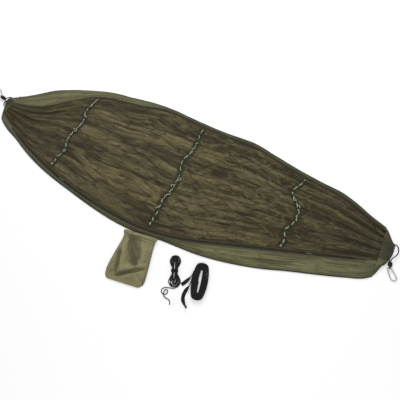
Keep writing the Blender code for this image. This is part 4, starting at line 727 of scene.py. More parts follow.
class Recipe:
    """A node material that is built up step by step."""

    def __init__(self, name: str, roughness: float, metallic: float = 0.0, sheen: float = 0.0,
                 specular: float = 0.3) -> None:
        """Starts a material with one Principled shader.

        Args:
            name: The material's name.
            roughness: Its plain roughness.
            metallic: 1 for bare metal.
            sheen: The weight of its cloth sheen.
            specular: Its specular level.
        """
        self.material = bpy.data.materials.new(name)
        self.material.use_nodes = True
        self.tree = self.material.node_tree
        self.shader = self.tree.nodes["Principled BSDF"]
        self.shader.inputs["Roughness"].default_value = roughness
        self.shader.inputs["Metallic"].default_value = metallic
        self.shader.inputs["Sheen Weight"].default_value = sheen
        self.shader.inputs["Sheen Roughness"].default_value = 0.5
        self.shader.inputs["Specular IOR Level"].default_value = specular
        self.place = self.tree.nodes.new("ShaderNodeTexCoord")

    def node(self, kind: str, values: dict[str | int, object] | None = None,
             **settings: object) -> bpy.types.Node:
        """Adds a node.

        Args:
            kind: The node's type without its ShaderNode prefix.
            values: Values or output sockets for its inputs, by name or number.
            settings: Its own properties.

        Returns:
            The node.
        """
        made = self.tree.nodes.new("ShaderNode" + kind)
        for key, value in settings.items():
            setattr(made, key, value)
        for key, value in (values or {}).items():
            socket = made.inputs[key]
            if isinstance(value, Socket):
                self.tree.links.new(value, socket)
            else:
                socket.default_value = value
        return made

    def noise(self, scale: float, detail: float, coordinate: str = "Object",
              stretch: Point = (1.0, 1.0, 1.0)) -> Socket:
        """Returns a noise value on Object coordinates or the UV map."""
        placed = self.node("Mapping", {"Vector": self.place.outputs[coordinate], "Scale": stretch})
        made = self.node("TexNoise", {"Vector": placed.outputs[0], "Scale": scale, "Detail": detail})
        return made.outputs["Fac"]

    def wrinkles(self, scale: float, stretch: Point, width: float) -> Socket:
        """Returns a value that dips from 1 to 0 on thin wandering lines of the UV map.

        Args:
            scale: How close the lines lie.
            stretch: How the pattern is drawn out along each axis.
            width: How wide the dips are, as a share of the noise.

        Returns:
            The value.
        """
        away = self.math("ABSOLUTE", self.math("SUBTRACT", self.noise(scale, 2.5, "UV", stretch), 0.5))
        values = {"Value": away, "From Max": width}
        return self.node("MapRange", values, interpolation_type="SMOOTHSTEP").outputs[0]

    def bands(self, pitch: float, axis: str, coordinate: str = "UV", turn: float = 0.0,
              distortion: float = 0.0) -> Socket:
        """Returns a value that rises and falls once in each pitch along an axis."""
        placed = self.node("Mapping", {"Vector": self.place.outputs[coordinate], "Rotation": (0, 0, turn)})
        wave = self.node("TexWave", {"Vector": placed.outputs[0], "Scale": math.pi / 10 / pitch,
                                     "Distortion": distortion}, bands_direction=axis)
        return wave.outputs["Fac"]

    def relief(self) -> Socket:
        """Returns the relief kept at a sheet's vertices."""
        return self.node("Attribute", attribute_name="relief").outputs["Fac"]

    def math(self, operation: str, first: Socket | float, second: Socket | float = 0.0) -> Socket:
        """Returns the result of one Math node."""
        return self.node("Math", {0: first, 1: second}, operation=operation).outputs[0]

    def times(self, first: Socket | float, second: Socket | float) -> Socket:
        """Returns a product."""
        return self.math("MULTIPLY", first, second)

    def plus(self, first: Socket | float, second: Socket | float) -> Socket:
        """Returns a sum."""
        return self.math("ADD", first, second)

    def remap(self, value: Socket, start: float, end: float, low: float = 0.0, high: float = 1.0) -> Socket:
        """Returns a value that runs from low to high while another runs from start to end."""
        values = {"Value": value, "From Min": start, "From Max": end, "To Min": low, "To Max": high}
        return self.node("MapRange", values).outputs[0]

    def ramp(self, value: Socket, stops: Sequence[tuple[float, Colour]]) -> Socket:
        """Returns a colour ramp's colour."""
        made = self.node("ValToRGB", {"Fac": value})
        band = made.color_ramp
        while len(band.elements) < len(stops):
            band.elements.new(0.5)
        for element, (at, colour) in zip(band.elements, stops):
            element.position = at
            element.color = (*colour, 1.0)
        return made.outputs["Color"]

    def mix(self, share: Socket | float, first: Socket | Colour, second: Socket | Colour) -> Socket:
        """Returns two colours mixed by a share."""
        made = self.node("Mix", data_type="RGBA")
        for number, value in ((0, share), (6, first), (7, second)):
            if isinstance(value, Socket):
                self.tree.links.new(value, made.inputs[number])
            elif number == 0:
                made.inputs[number].default_value = value
            else:
                made.inputs[number].default_value = (*value, 1.0)
        return made.outputs[2]

    def colour(self, value: Socket) -> None:
        """Sends a colour to the shader."""
        self.tree.links.new(value, self.shader.inputs["Base Color"])

    def roughness(self, value: Socket, low: float, high: float) -> None:
        """Sends a value to the shader's roughness, between two bounds."""
        self.tree.links.new(self.remap(value, 0.0, 1.0, low, high), self.shader.inputs["Roughness"])

    def bump(self, layers: Sequence[tuple[Socket, float]]) -> None:
        """Stacks bump heights on the shader.

        Args:
            layers: Pairs of a 0 to 1 value and the height in metres that it stands for.
        """
        normal = None
        for value, height in layers:
            values: dict[str | int, object] = {"Height": value, "Distance": height, "Strength": 1.0}
            if normal is not None:
                values["Normal"] = normal
            normal = self.node("Bump", values).outputs["Normal"]
        self.tree.links.new(normal, self.shader.inputs["Normal"])


def faded(colour: Colour, share: float) -> Colour:
    """Returns a colour made lighter or darker by a share."""
    return tuple(value * share for value in colour)


@dataclass(frozen=True)
class ClothFinish:
    """A thin nylon cloth: close plain weave, pressed-in wrinkles, painted shade in its hollows and wrinkle
    lines, and painted highlight on its ridges.
    """

    name: str
    # base is the cloth's own colour; hollow is painted shade for the hollows and wrinkle lines, and also
    # darkens the weave's thread gaps; ridge is a painted highlight on fold crests and the pale fleck of the
    # grain.
    base: Colour
    hollow_shade: Colour
    ridge: Colour
    weave_pitch: float = 0.0009
    weave_height: float = 0.00012
    weave_tone: float = 0.18
    wrinkle_stretch: Point = (0.3, 1.5, 1.0)
    wrinkle_depth: float = 0.0016
    wrinkle_tone: float = 0.4
    patch_scale: float = 9.0
    broad_scale: float = 13.0
    fine_scale: float = 31.0
    fine_share: float = 0.55
    relief_weight: float = 0.7
    patch_weight: float = 0.34
    stops: Point = (0.12, 0.44, 0.95)
    grain_tone: float = 0.14
    grain_height: float = 0.0005
    sheen: float = 0.08
    roughness: float = 0.66

    def build(self) -> bpy.types.Material:
        """Returns the finish's material."""
        r = Recipe(self.name, self.roughness, sheen=self.sheen)
        patch = r.noise(self.patch_scale, 4.0)
        broad = r.wrinkles(self.broad_scale, self.wrinkle_stretch, 0.05)
        fine = r.wrinkles(self.fine_scale, self.wrinkle_stretch, 0.075)
        # The kept relief paints shade in the hollows and a highlight on the ridges, and the wrinkle lines are
        # darkened towards the painted shade.
        tone = r.plus(r.times(r.relief(), self.relief_weight), r.times(patch, self.patch_weight))
        cloth = r.ramp(tone, list(zip(self.stops, (self.hollow_shade, self.base, self.ridge))))
        threads = r.times(*(r.bands(self.weave_pitch, axis, "Object") for axis in "XY"))
        for line, share in ((broad, self.wrinkle_tone), (fine, self.wrinkle_tone * self.fine_share)):
            cloth = r.mix(r.times(r.math("SUBTRACT", 1.0, line), share), cloth, self.hollow_shade)
        cloth = r.mix(r.times(threads, self.weave_tone), cloth, self.hollow_shade)
        cloth = r.mix(r.times(r.noise(900.0, 1.0), self.grain_tone), cloth, self.ridge)
        r.colour(cloth)
        r.roughness(patch, self.roughness - 0.06, self.roughness + 0.08)
        r.bump([(broad, self.wrinkle_depth), (fine, self.wrinkle_depth * 0.5),
                (r.noise(150.0, 3.0), self.grain_height), (threads, self.weave_height)])
        return r.material


@dataclass(frozen=True)
class NetFinish:
    """Fine insect netting: threads over holes painted as shaded cloth beneath, bumped wrinkles all over,
    painted shade in folds, wrinkle lines and end pleats, painted highlights on ridges.
    """

    name: str
    # thread is the netting's own colour; hole stands for the bed cloth seen through the netting, with painted
    # shade making it far darker than that cloth; fold is painted shade in the folds and also darkens random
    # patches; end_tint is the tint towards the ends.
    thread: Colour
    hole: Colour
    fold: Colour
    end_tint: Colour
    cell: float = 0.0014
    thread_height: float = 0.00016
    long_stretch: Point = (0.3, 1.0, 1.0)
    slant_stretch: Point = (0.75, 0.9, 1.0)
    relief_weight: float = 0.72
    streak_weight: float = 0.42
    end_weight: float = 0.24
    stops: Point = (0.16, 0.46, 1.0)
    line_tones: Point = (0.56, 0.36, 0.38)
    line_depths: Point = (0.0036, 0.0017, 0.0022)
    sheen: float = 0.06

    def end_pleats(self, r: Recipe, place: Socket, colour: Socket, deep: Colour) -> Socket:
        """Adds painted shade in the pleats that the netting is drawn into towards its ends; the pleats are
        painted only, not shaped.

        Args:
            r: The material.
            place: The place along the hammock.
            colour: The colour so far.
            deep: The pleats' painted shade colour.

        Returns:
            The colour with its pleats.
        """
        pleat_rows = ((0.080, 2.0, 0.62, 1.15, 0.42), (0.185, 3.0, 0.70, 1.05, 0.95))
        for pitch, sharp, start, end, most in pleat_rows:
            pleats = r.math("POWER", r.bands(pitch, "Y", "UV", distortion=3.0), sharp)
            drawn = r.remap(r.math("ABSOLUTE", place), start, end, 0.0, most)
            colour = r.mix(r.times(drawn, pleats), colour, deep)
        return colour

    def build(self) -> bpy.types.Material:
        """Returns the finish's material."""
        r = Recipe(self.name, 0.74, sheen=self.sheen, specular=0.16)
        mesh = r.math("MAXIMUM", *(r.bands(self.cell, axis, "Object", math.radians(45)) for axis in "XY"))
        broad = r.wrinkles(13.0, self.long_stretch, 0.04)
        fine = r.wrinkles(40.0, self.long_stretch, 0.07)
        slanted = r.wrinkles(17.0, self.slant_stretch, 0.03)
        place = r.node("SeparateXYZ", {0: r.place.outputs["Object"]}).outputs["X"]
        slanted = r.math("MAXIMUM", slanted, r.remap(place, -0.2, 0.35, 0.75, 0.0))
        patch = r.noise(5.0, 4.0)
        # The relief and the streaks pick painted shade in the folds, the threads' own colour or a painted
        # highlight on the ridges; the tone is lifted towards the ends and tinted there.
        tone = r.plus(r.times(r.relief(), self.relief_weight),
                      r.times(r.noise(20.0, 3.0, "UV", (0.3, 1.2, 1.0)), self.streak_weight))
        to_end = r.remap(r.math("ABSOLUTE", place), 0.7, 1.22)
        tone = r.plus(tone, r.times(to_end, self.end_weight))
        colour = r.ramp(tone, list(zip(self.stops, (self.fold, self.thread, faded(self.thread, 1.5)))))
        colour = r.mix(r.times(to_end, 0.16), colour, self.end_tint)
        # deep is painted shade: the wrinkle lines and end pleats are darkened towards it, more strongly
        # towards the ends.
        deep = faded(self.fold, 0.6)
        for line, share in zip((broad, fine, slanted), self.line_tones):
            much = r.times(r.plus(1.0, r.times(to_end, 0.2)), share)
            colour = r.mix(r.times(r.math("SUBTRACT", 1.0, line), much), colour, deep)
        colour = self.end_pleats(r, place, colour, deep)
        # The holes between the threads are painted dark: the cloth seen through them, darkened with painted
        # shade.
        colour = r.mix(r.remap(mesh, 0.35, 0.8, 0.5, 0.0), colour, self.hole)
        colour = r.mix(r.times(patch, 0.2), colour, self.fold)
        r.colour(colour)
        for_broad, for_fine, for_slanted = self.line_depths
        r.bump([(broad, for_broad), (slanted, for_slanted), (fine, for_fine), (mesh, self.thread_height)])
        return r.material


@dataclass(frozen=True)
class TapeFinish:
    """Zip tape: near black beside the teeth and cloth-coloured at its sewn edge, by the kept relief."""

    name: str
    inner: Colour
    outer: Colour
    rib_pitch: float = 0.0011
    rib_height: float = 0.0002

    def build(self) -> bpy.types.Material:
        """Returns the finish's material."""
        r = Recipe(self.name, 0.8, sheen=0.05, specular=0.2)
        ribs = r.bands(self.rib_pitch, "X")
        near = r.plus(r.relief(), r.times(r.noise(30.0, 3.0), 0.3))
        colour = r.ramp(near, [(0.60, self.outer), (0.88, self.inner)])
        colour = r.mix(r.times(ribs, 0.3), colour, faded(self.outer, 0.5))
        r.colour(colour)
        r.bump([(r.noise(60.0, 2.0), 0.0005), (ribs, self.rib_height)])
        return r.material


@dataclass(frozen=True)
class BandFinish:
    """Woven tape or webbing: fine ribs across and along it, read from its UV map, and light wear."""

    name: str
    base: Colour
    thread: Colour
    rib_pitch: float = 0.0016
    rib_height: float = 0.00025
    weave_tone: float = 0.45
    wear_tone: float = 0.25
    roughness: float = 0.75
    sheen: float = 0.15

    def build(self) -> bpy.types.Material:
        """Returns the finish's material."""
        r = Recipe(self.name, self.roughness, sheen=self.sheen, specular=0.2)
        weave = r.times(r.bands(self.rib_pitch, "X"), r.bands(self.rib_pitch * 0.8, "Y"))
        wear = r.noise(60.0, 4.0)
        colour = r.mix(r.times(weave, self.weave_tone), self.base, self.thread)
        colour = r.mix(r.times(wear, self.wear_tone), colour, faded(self.base, 0.6))
        r.colour(colour)
        r.roughness(wear, self.roughness - 0.1, self.roughness + 0.1)
        r.bump([(r.noise(45.0, 2.0), 0.0005), (weave, self.rib_height)])
        return r.material


@dataclass(frozen=True)
class BraidFinish:
    """Braided cord: strands that cross over each other, read from its UV map, with painted shade where one
    passes under another, and an optional fleck.
    """

    name: str
    base: Colour
    dark: Colour
    girth: float
    strands: int = 6
    fleck: Colour | None = None
    fleck_pitch: float = 0.046
    fleck_share: float = 0.62
    fleck_edge: float = 0.06
    roughness: float = 0.7

    def flecked(self, r: Recipe) -> Socket:
        """Returns the base colour with its pale lengths, which lie at uneven steps along the cord."""
        along = r.node("SeparateXYZ", {0: r.place.outputs["UV"]}).outputs["X"]
        jitter = r.times(r.noise(26.0, 1.0, "UV"), 1.2)
        place = r.math("FRACT", r.plus(r.math("DIVIDE", along, self.fleck_pitch), jitter))
        half = self.fleck_share / 2
        away = r.math("ABSOLUTE", r.math("SUBTRACT", place, 0.5))
        pale = r.remap(away, half, half + self.fleck_edge, 1.0, 0.0)
        tracer = r.math("GREATER_THAN", r.noise(420.0, 1.0, "UV"), 0.44)
        return r.mix(r.times(pale, r.plus(0.65, r.times(tracer, 0.35))), self.base, self.fleck)

    def build(self) -> bpy.types.Material:
        """Returns the finish's material."""
        r = Recipe(self.name, self.roughness, sheen=0.04, specular=0.22)
        pitch = self.girth / self.strands * math.sqrt(0.5)
        braid = r.math("MAXIMUM", *(r.bands(pitch, "X", "UV", math.radians(turn)) for turn in (45, -45)))
        # Where neither strand's crown lies, between the strands, the colour goes to the dark one: painted
        # shade.
        under = r.remap(braid, 0.3, 0.9)
        colour = self.flecked(r) if self.fleck else self.base
        r.colour(r.mix(under, self.dark, colour))
        r.bump([(braid, 0.0004), (r.noise(500.0, 2.0), 0.0001)])
        return r.material


@dataclass(frozen=True)
class MetalFinish:
    """Worked metal: fine drawing lines, small scuffs and duller patches."""

    name: str
    base: Colour
    scuff: Colour
    roughness: float
    scuff_tone: float = 0.35

    def build(self) -> bpy.types.Material:
        """Returns the finish's material."""
        r = Recipe(self.name, self.roughness, 1.0, specular=0.5)
        patch = r.noise(60.0, 4.0)
        scratch = r.noise(260.0, 3.0, stretch=(0.2, 3.0, 1.0))
        r.colour(r.mix(r.times(patch, self.scuff_tone), self.base, self.scuff))
        r.roughness(scratch, self.roughness - 0.07, self.roughness + 0.14)
        r.bump([(scratch, 0.00006), (patch, 0.00012)])
        return r.material


class Finish(Enum):
    """Every finish on the hammock tent."""

    # Cloth finishes list their own colour, then the painted shade of hollows, then the painted highlight of
    # ridges. The netting lists its threads, its holes painted as shaded cloth beneath, the painted shade of
    # its folds and its end tint. Braids list their own colour, then the painted shade between strands.
    BED = ClothFinish("bed_nylon", (0.174, 0.166, 0.075), (0.060, 0.058, 0.026), (0.268, 0.257, 0.121),
                      wrinkle_tone=0.58)
    SLEEVE = ClothFinish("sleeve_nylon", (0.046, 0.040, 0.018), (0.012, 0.012, 0.007), (0.262, 0.252, 0.135),
                         sheen=0.02)
    SACK = ClothFinish("sack_nylon", (0.268, 0.244, 0.118), (0.052, 0.047, 0.022), (0.350, 0.325, 0.180),
                       wrinkle_stretch=(0.8, 0.8, 1.0), wrinkle_depth=0.0012, wrinkle_tone=0.22)
    NET = NetFinish("insect_netting", (0.170, 0.144, 0.068), (0.022, 0.018, 0.009), (0.036, 0.028, 0.013),
                    (0.068, 0.062, 0.029))
    TRIM = BandFinish("hem_binding", (0.034, 0.036, 0.020), (0.075, 0.078, 0.045))
    SEAM = BandFinish("seam_tape", (0.034, 0.033, 0.017), (0.075, 0.074, 0.038))
    ZIP_TAPE_BED = TapeFinish("zip_tape_on_bed", (0.010, 0.010, 0.009), (0.125, 0.118, 0.060))
    ZIP_TAPE_NET = TapeFinish("zip_tape_on_net", (0.010, 0.010, 0.009), (0.082, 0.068, 0.034))
    CROSS_TAPE = BandFinish("cross_tape", (0.026, 0.038, 0.017), (0.062, 0.086, 0.040))
    LACING = BraidFinish("flecked_lacing", (0.042, 0.064, 0.027), (0.018, 0.028, 0.012), math.pi * 0.0055,
                         fleck=(0.640, 0.670, 0.470), fleck_pitch=0.048, fleck_share=0.56)
    ROPE = BraidFinish("black_rope", (0.018, 0.018, 0.018), (0.004, 0.004, 0.004), math.pi * 0.006)
    THIN_CORD = BraidFinish("black_thin_cord", (0.012, 0.012, 0.012), (0.004, 0.004, 0.004),
                            math.pi * 0.004, 5)
    DRAWCORD = BraidFinish("black_drawcord", (0.020, 0.020, 0.018), (0.005, 0.005, 0.005),
                           math.pi * 0.002, 4)
    STRAP = BandFinish("black_webbing", (0.008, 0.008, 0.008), (0.020, 0.020, 0.020), 0.0013, 0.0003,
                       sheen=0.03)
    ZIP_METAL = MetalFinish("blackened_zip", (0.10, 0.098, 0.092), (0.035, 0.034, 0.032), 0.36)
    STEEL = MetalFinish("bright_steel", (0.42, 0.42, 0.43), (0.24, 0.24, 0.24), 0.27)

    def material(self) -> bpy.types.Material:
        """Returns the finish's material, built once."""
        return bpy.data.materials.get(self.value.name) or self.value.build()

    def dress(self, *items: Piece) -> None:
        """Puts the finish on pieces in place of what they have."""
        for item in items:
            item.data.materials.clear()
            item.data.materials.append(self.material())


def finish_piece(made: Piece, finish: Finish, nodes: Sequence[str], body: str = "root") -> Piece:
    """Dresses a piece, seats it on its body and hides the CAD nodes that it stands for.

    Args:
        made: The piece.
        finish: Its finish.
        nodes: The CAD nodes that it replaces.
        body: The body that it rides on.

    Returns:
        The piece.
    """
    finish.dress(made)
    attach(made, body)
    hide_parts(*nodes)
    LOG.info("%s: %d faces, %s", made.name, len(made.data.polygons), finish.name)
    return made


def seen_rays(tree: bpy.types.NodeTree) -> Socket:
    """Returns 1 on the rays that show a surface as the camera sees it, and 0 on those that light others."""
    ray = tree.nodes.new("ShaderNodeLightPath").outputs
    value = ray["Is Camera Ray"]
    for kind in ("Is Transmission Ray", "Is Glossy Ray"):
        joined = tree.nodes.new("ShaderNodeMath")
        joined.operation = "MAXIMUM"
        tree.links.new(value, joined.inputs[0])
        tree.links.new(ray[kind], joined.inputs[1])
        value = joined.outputs[0]
    return value


@dataclass(frozen=True)
class Lamp:
    """A round soft lamp: where it hangs, what it is aimed at, its width and its power in watts."""

    name: str
    at: Point
    aim: Point
    size: float
    power: float

    def hang(self) -> None:
        """Hangs the lamp in the scene."""
        data = bpy.data.lights.new(self.name, "AREA")
        data.shape, data.size, data.energy = "DISK", self.size, self.power
        made = bpy.data.objects.new(self.name, data)
        bpy.context.scene.collection.objects.link(made)
        made.location = self.at
        made.rotation_euler = (Vector(self.aim) - Vector(self.at)).to_track_quat("-Z", "Y").to_euler()


LAMPS = (
    Lamp("back_lamp", (-0.9, 2.4, 2.6), (0.0, 0.0, 0.0), 2.2, 62.0),
    Lamp("front_lamp", (1.6, -2.6, 3.2), (0.2, -0.1, 0.0), 2.6, 34.0),
)


@dataclass
class Studio:
    """The plain room: a white floor, soft lamps and the camera at the photograph's angle."""

    camera_at: Point = (0.6383, -1.0266, 2.1302)
    camera_aim: Point = (0.19696, -0.11142, 0.0)
    lens: float = 36.0
    sensor: float = 36.0
    room_light: float = 0.42
    floor_half: float = 14.0
    floor_drop: float = 0.0006
    floor_white: tuple[float, ...] = (0.86, 0.86, 0.86, 1.0)
    floor_glow: float = 0.34

    WHITE = (1.0, 1.0, 1.0, 1.0)

    def build(self) -> None:
        """Makes the camera, the lamps, the world and the floor."""
        self.camera()
        for lamp in LAMPS:
            lamp.hang()
        self.world()
        self.floor()
        bpy.context.scene.view_settings.view_transform = "Standard"

    def camera(self) -> None:
        """Places the camera and aims it."""
        data = bpy.data.cameras.new("photo_camera")
        data.sensor_fit, data.sensor_width, data.lens = "HORIZONTAL", self.sensor, self.lens
        data.clip_start, data.clip_end = 0.05, 60.0
        made = bpy.data.objects.new("photo_camera", data)
        bpy.context.scene.collection.objects.link(made)
        aim = Vector(self.camera_aim) - Vector(self.camera_at)
        made.location = self.camera_at
        made.rotation_euler = aim.to_track_quat("-Z", "Y").to_euler()
        bpy.context.scene.camera = made

    def world(self) -> None:
        """Makes the plain world, white to the camera and dimmer as a light."""
        world = bpy.data.worlds.new("room")
        world.use_nodes = True
        bpy.context.scene.world = world
        tree = world.node_tree
        shade = tree.nodes["Background"]
        shade.inputs["Color"].default_value = self.WHITE
        seen = seen_rays(tree)
        level = tree.nodes.new("ShaderNodeMapRange")
        level.inputs["To Min"].default_value = self.room_light
        level.inputs["To Max"].default_value = 1.0
        tree.links.new(seen, level.inputs["Value"])
        tree.links.new(level.outputs[0], shade.inputs["Strength"])

    def floor(self) -> None:
        """Lays the white floor, which keeps the hammock's shadow."""
        bpy.ops.mesh.primitive_plane_add(size=2 * self.floor_half, location=(0, 0, -self.floor_drop))
        made = bpy.context.object
        made.name = "studio_floor"
        made.data.materials.append(self.floor_material())

    def floor_material(self) -> bpy.types.Material:
        """Returns the floor's white, bright enough to read as the photograph's ground."""
        recipe = Recipe("studio_white", 0.9, specular=0.05)
        recipe.shader.inputs["Base Color"].default_value = self.floor_white
        glow = recipe.node("Emission", {"Color": self.WHITE, "Strength": self.floor_glow})
        seen = seen_rays(recipe.tree)
        dark = recipe.node("Emission", {"Color": (0.0, 0.0, 0.0, 1.0), "Strength": 0.0})
        shown = recipe.node("MixShader", {0: seen, 1: dark.outputs[0], 2: glow.outputs[0]})
        both = recipe.node("AddShader", {0: recipe.shader.outputs[0], 1: shown.outputs[0]})
        recipe.tree.links.new(both.outputs[0], recipe.tree.nodes["Material Output"].inputs["Surface"])
        return recipe.material


@dataclass
class BedAndNet:
    """The bed cloth and the netting over it, each one sheet with its own folds."""

    columns: int = 520
    net_rows: int = 150
    band_rows: int = 26
    zip_border: float = 0.017
    seam_half: float = 0.006
    rim_height: float = 0.0045
    rim_share: float = 0.06
    band_fold: float = 0.0075
    band_slope: float = 0.16
    near_shade: float = 0.60
    darkened_start: float = 0.06
    darkened_run: float = 0.3
    net_fold: float = 0.0105
    net_slope: float = 0.25
    net_margin: float = 0.011
    net_ridges: int = 6
    end_full: float = 0.156

    def build(self) -> None:
        bed = self.bed()
        finish_piece(bed, Finish.BED, ["bed_panel"])
        net = self.net()
        finish_piece(net, Finish.NET, ["net_panel"])

    def stations(self) -> np.ndarray:
        """Returns the places along the sheets."""
        return np.linspace(-PLAN.cloth_end, PLAN.cloth_end, self.columns)

    def fullness(self, x: np.ndarray) -> np.ndarray:
        """Returns how full the folds are: 1 along the middle and 0 at the gathered ends."""
        return ease((PLAN.cloth_end - np.abs(x)) / self.end_full)

    def fold_relief(self, fold: np.ndarray) -> np.ndarray:
        """Returns the relief kept on the bed for a fold's height."""
        return 0.12 + 0.88 * fold / self.band_fold

    def band_creases(self) -> CreaseField:
        """Returns the folds of the open bands of the bed."""
        made = CreaseField()
        box = (-1.2, 0.0, 1.2, 1.0)
        made.scatter(11, 110, box, (-1.6, 1.6), (0.25, 0.8), (0.3, 1.0), (0.03, 0.07))
        made.scatter(12, 150, box, (-8.0, 8.0), (0.06, 0.22), (0.2, 0.6), (0.02, 0.05))
        return made.scatter(13, 90, box, (-2.5, 2.5), (0.12, 0.5), (-0.9, -0.4), (0.012, 0.03))

    def band_height(self, x: np.ndarray, share: np.ndarray, width: np.ndarray, seed: float) -> np.ndarray:
        """Returns the folds' height over a band, from 0 at its edges.

        Args:
            x: Places along the band.
            share: Shares across it.
            width: Its width at each place.
            seed: What sets its folds apart from the other band's.

        Returns:
            The height above its level cloth.
        """
        folds = self.creases.height(x, share + 0 * x)
        long = np.sin(x * 7.3 + seed) * 0.25 + np.sin(x * 17.1 + 2.1 * seed) * 0.15
        ripple = 0.5 + 0.5 * np.sin(2 * math.pi * (share * 2.3 + long))
        limit = np.minimum(self.band_fold, self.band_slope * width)
        return limit * np.clip(0.40 * ripple + 0.85 * folds, 0, 1.3) * bump_up(share)

    def bed(self) -> Piece:
        """Makes the bed cloth."""
        self.creases = self.band_creases()
        x = self.stations()
        zip_y, near, far, seam = PLAN.zip_line(x), PLAN.near(x), PLAN.far(x), PLAN.seam(x)
        half = PLAN.zip_half_trough
        fade, full = PLAN.end_fade(x), self.fullness(x)
        level, seat = PLAN.cloth_top, PLAN.net_seat - TOUCH
        rows, heights, reliefs, lays = [], [], [], []

        def add(y: np.ndarray, z: np.ndarray | float, relief: np.ndarray | float, lay: float) -> None:
            """Adds one line of the grid along the whole bed."""
            for kept, value in ((rows, y), (heights, z), (reliefs, relief), (lays, lay)):
                kept.append(value + 0 * x)

        width = zip_y - self.zip_border - near
        for k in range(self.band_rows + 1):
            share = k / self.band_rows
            fold = self.band_height(x, np.full_like(x, share), width, 0.7) * full
            rim = self.rim_height + (level - self.rim_height) * ease(share / self.rim_share)
            base = rim + (seat - level) * ease(share / 0.3) * fade
            add(near + width * share, base + fold, self.fold_relief(fold) * self.near_shade, 0.13 * share)
        add(zip_y - half - 2 * TOUCH, level + (seat - level) * fade, 0.25, 0.135)
        add(zip_y - half, level, 0.1, 0.14)
        add(zip_y + half, level, 0.1, 0.145)
        add(seam, level, 0.2, 0.5)
        start = seam + self.seam_half
        width = far - start
        for k in range(self.band_rows + 1):
            share = k / self.band_rows
            fold = self.band_height(x + 3.1, np.full_like(x, share), width, 2.9) * full
            rim = level - (level - self.rim_height) * ease((share - (1 - self.rim_share)) / self.rim_share)
            # The far band's relief is lowered from here towards the blunt end, more towards its far edge, so
            # it is painted darker there, towards the hollows' shade colour.
            turned = ease((x - self.darkened_start * PLAN.cloth_end) / (self.darkened_run * PLAN.cloth_end))
            turned = turned * (0.55 + 0.45 * ease((share - 0.3) / 0.4))
            add(start + width * share, rim + fold, self.fold_relief(fold) * (1 - turned), 0.52 + 0.08 * share)
        top = np.stack([np.stack((x, y, z), axis=1) for y, z in zip(rows, heights)], axis=1)
        lay = np.stack([np.stack((x, row), axis=1) for row in lays], axis=1)
        return slab("bed_cloth_sheet", top, 0.0, np.stack(reliefs, axis=1), lay)

    def net_creases(self) -> CreaseField:
        """Returns the net's folds: long ones along it, short ones, and drawn-in valleys between them."""
        made = CreaseField()
        made.scatter(21, 90, (-1.15, 0.02, 1.15, 0.98), (-2.0, 2.0), (0.3, 0.9), (0.35, 1.0), (0.009, 0.022))
        made.scatter(22, 170, (-1.1, 0.0, 1.1, 1.0), (-7.0, 7.0), (0.08, 0.32), (0.2, 0.65), (0.006, 0.014))
        return made.scatter(23, 120, (-1.15, 0.0, 1.15, 1.0), (-4.0, 4.0), (0.12, 0.5), (-0.9, -0.35),
                            (0.005, 0.010))

    def cross_creases(self) -> CreaseField:
        """Returns the short slanting folds, thickest on the blunt half."""
        made = CreaseField()
        blunt, sharp = (0.0, -0.30, 1.0, 0.34), (-1.0, -0.32, 0.1, 0.34)
        for seed, turn in ((31, (18.0, 62.0)), (32, (-62.0, -18.0))):
            made.scatter(seed, 100, blunt, turn, (0.05, 0.2), (0.0014, 0.0046), (0.0035, 0.0075))
        made.scatter(34, 90, blunt, (-70.0, 70.0), (0.04, 0.16), (-0.0035, -0.0015), (0.003, 0.006))
        return made.scatter(33, 70, sharp, (-50.0, 50.0), (0.06, 0.2), (0.001, 0.0036), (0.004, 0.008))

    def net_rise(self, x: np.ndarray, v: np.ndarray) -> np.ndarray:
        """Returns how far the net stands above its seat.

        Args:
            x: Stations along the net.
            v: Shares from the zip to the seam.

        Returns:
            The height at each place.
        """
        x, v = np.broadcast_arrays(x, v)
        plan_x, y = PLAN.net_point(x, v)
        width = PLAN.seam(x) - PLAN.zip_line(x)
        margin = np.minimum(self.net_margin / width, 0.2)
        inner = ease((v - margin) / (0.6 * margin)) * ease((1 - margin - v) / (0.6 * margin))
        drift = 0.16 * np.sin(5.1 * x + 1.0) + 0.1 * np.sin(11.3 * x + 4 * v)
        ripple = (0.5 + 0.5 * np.sin(2 * math.pi * (v * self.net_ridges * 1.25 + drift))) ** 1.6
        swell = 0.55 + 0.45 * np.sin(3.7 * x + 9 * v) * np.sin(2.1 * x - 5 * v)
        long = self.net_creases().height(x, v)
        rise = self.net_fold * np.clip(0.30 * ripple * swell + 0.62 * long, 0, 1.1)
        rise = rise + np.maximum(self.cross_creases().height(plan_x, y), -0.5 * rise)
        rise *= inner * self.fullness(x) * (0.04 + 0.96 * PLAN.flatness(x))
        return np.minimum(rise, self.net_slope * width)

    def net(self) -> Piece:
        """Makes the netting."""
        x = self.stations()[:, None]
        v = np.linspace(0, 1, self.net_rows)[None, :]
        plan_x, y = PLAN.net_point(x, v)
        rise = self.net_rise(x, v)
        top = np.stack((plan_x + 0 * y, y, PLAN.net_seat + rise), axis=2)
        lay = np.stack(np.broadcast_arrays(plan_x + 0 * v, 0.85 * v), axis=2)
        relief = rise / (self.net_fold * 0.95) / (0.25 + 0.75 * self.fullness(x))
        return slab("net_sheet", top, PLAN.cloth_top + TOUCH, relief, lay)


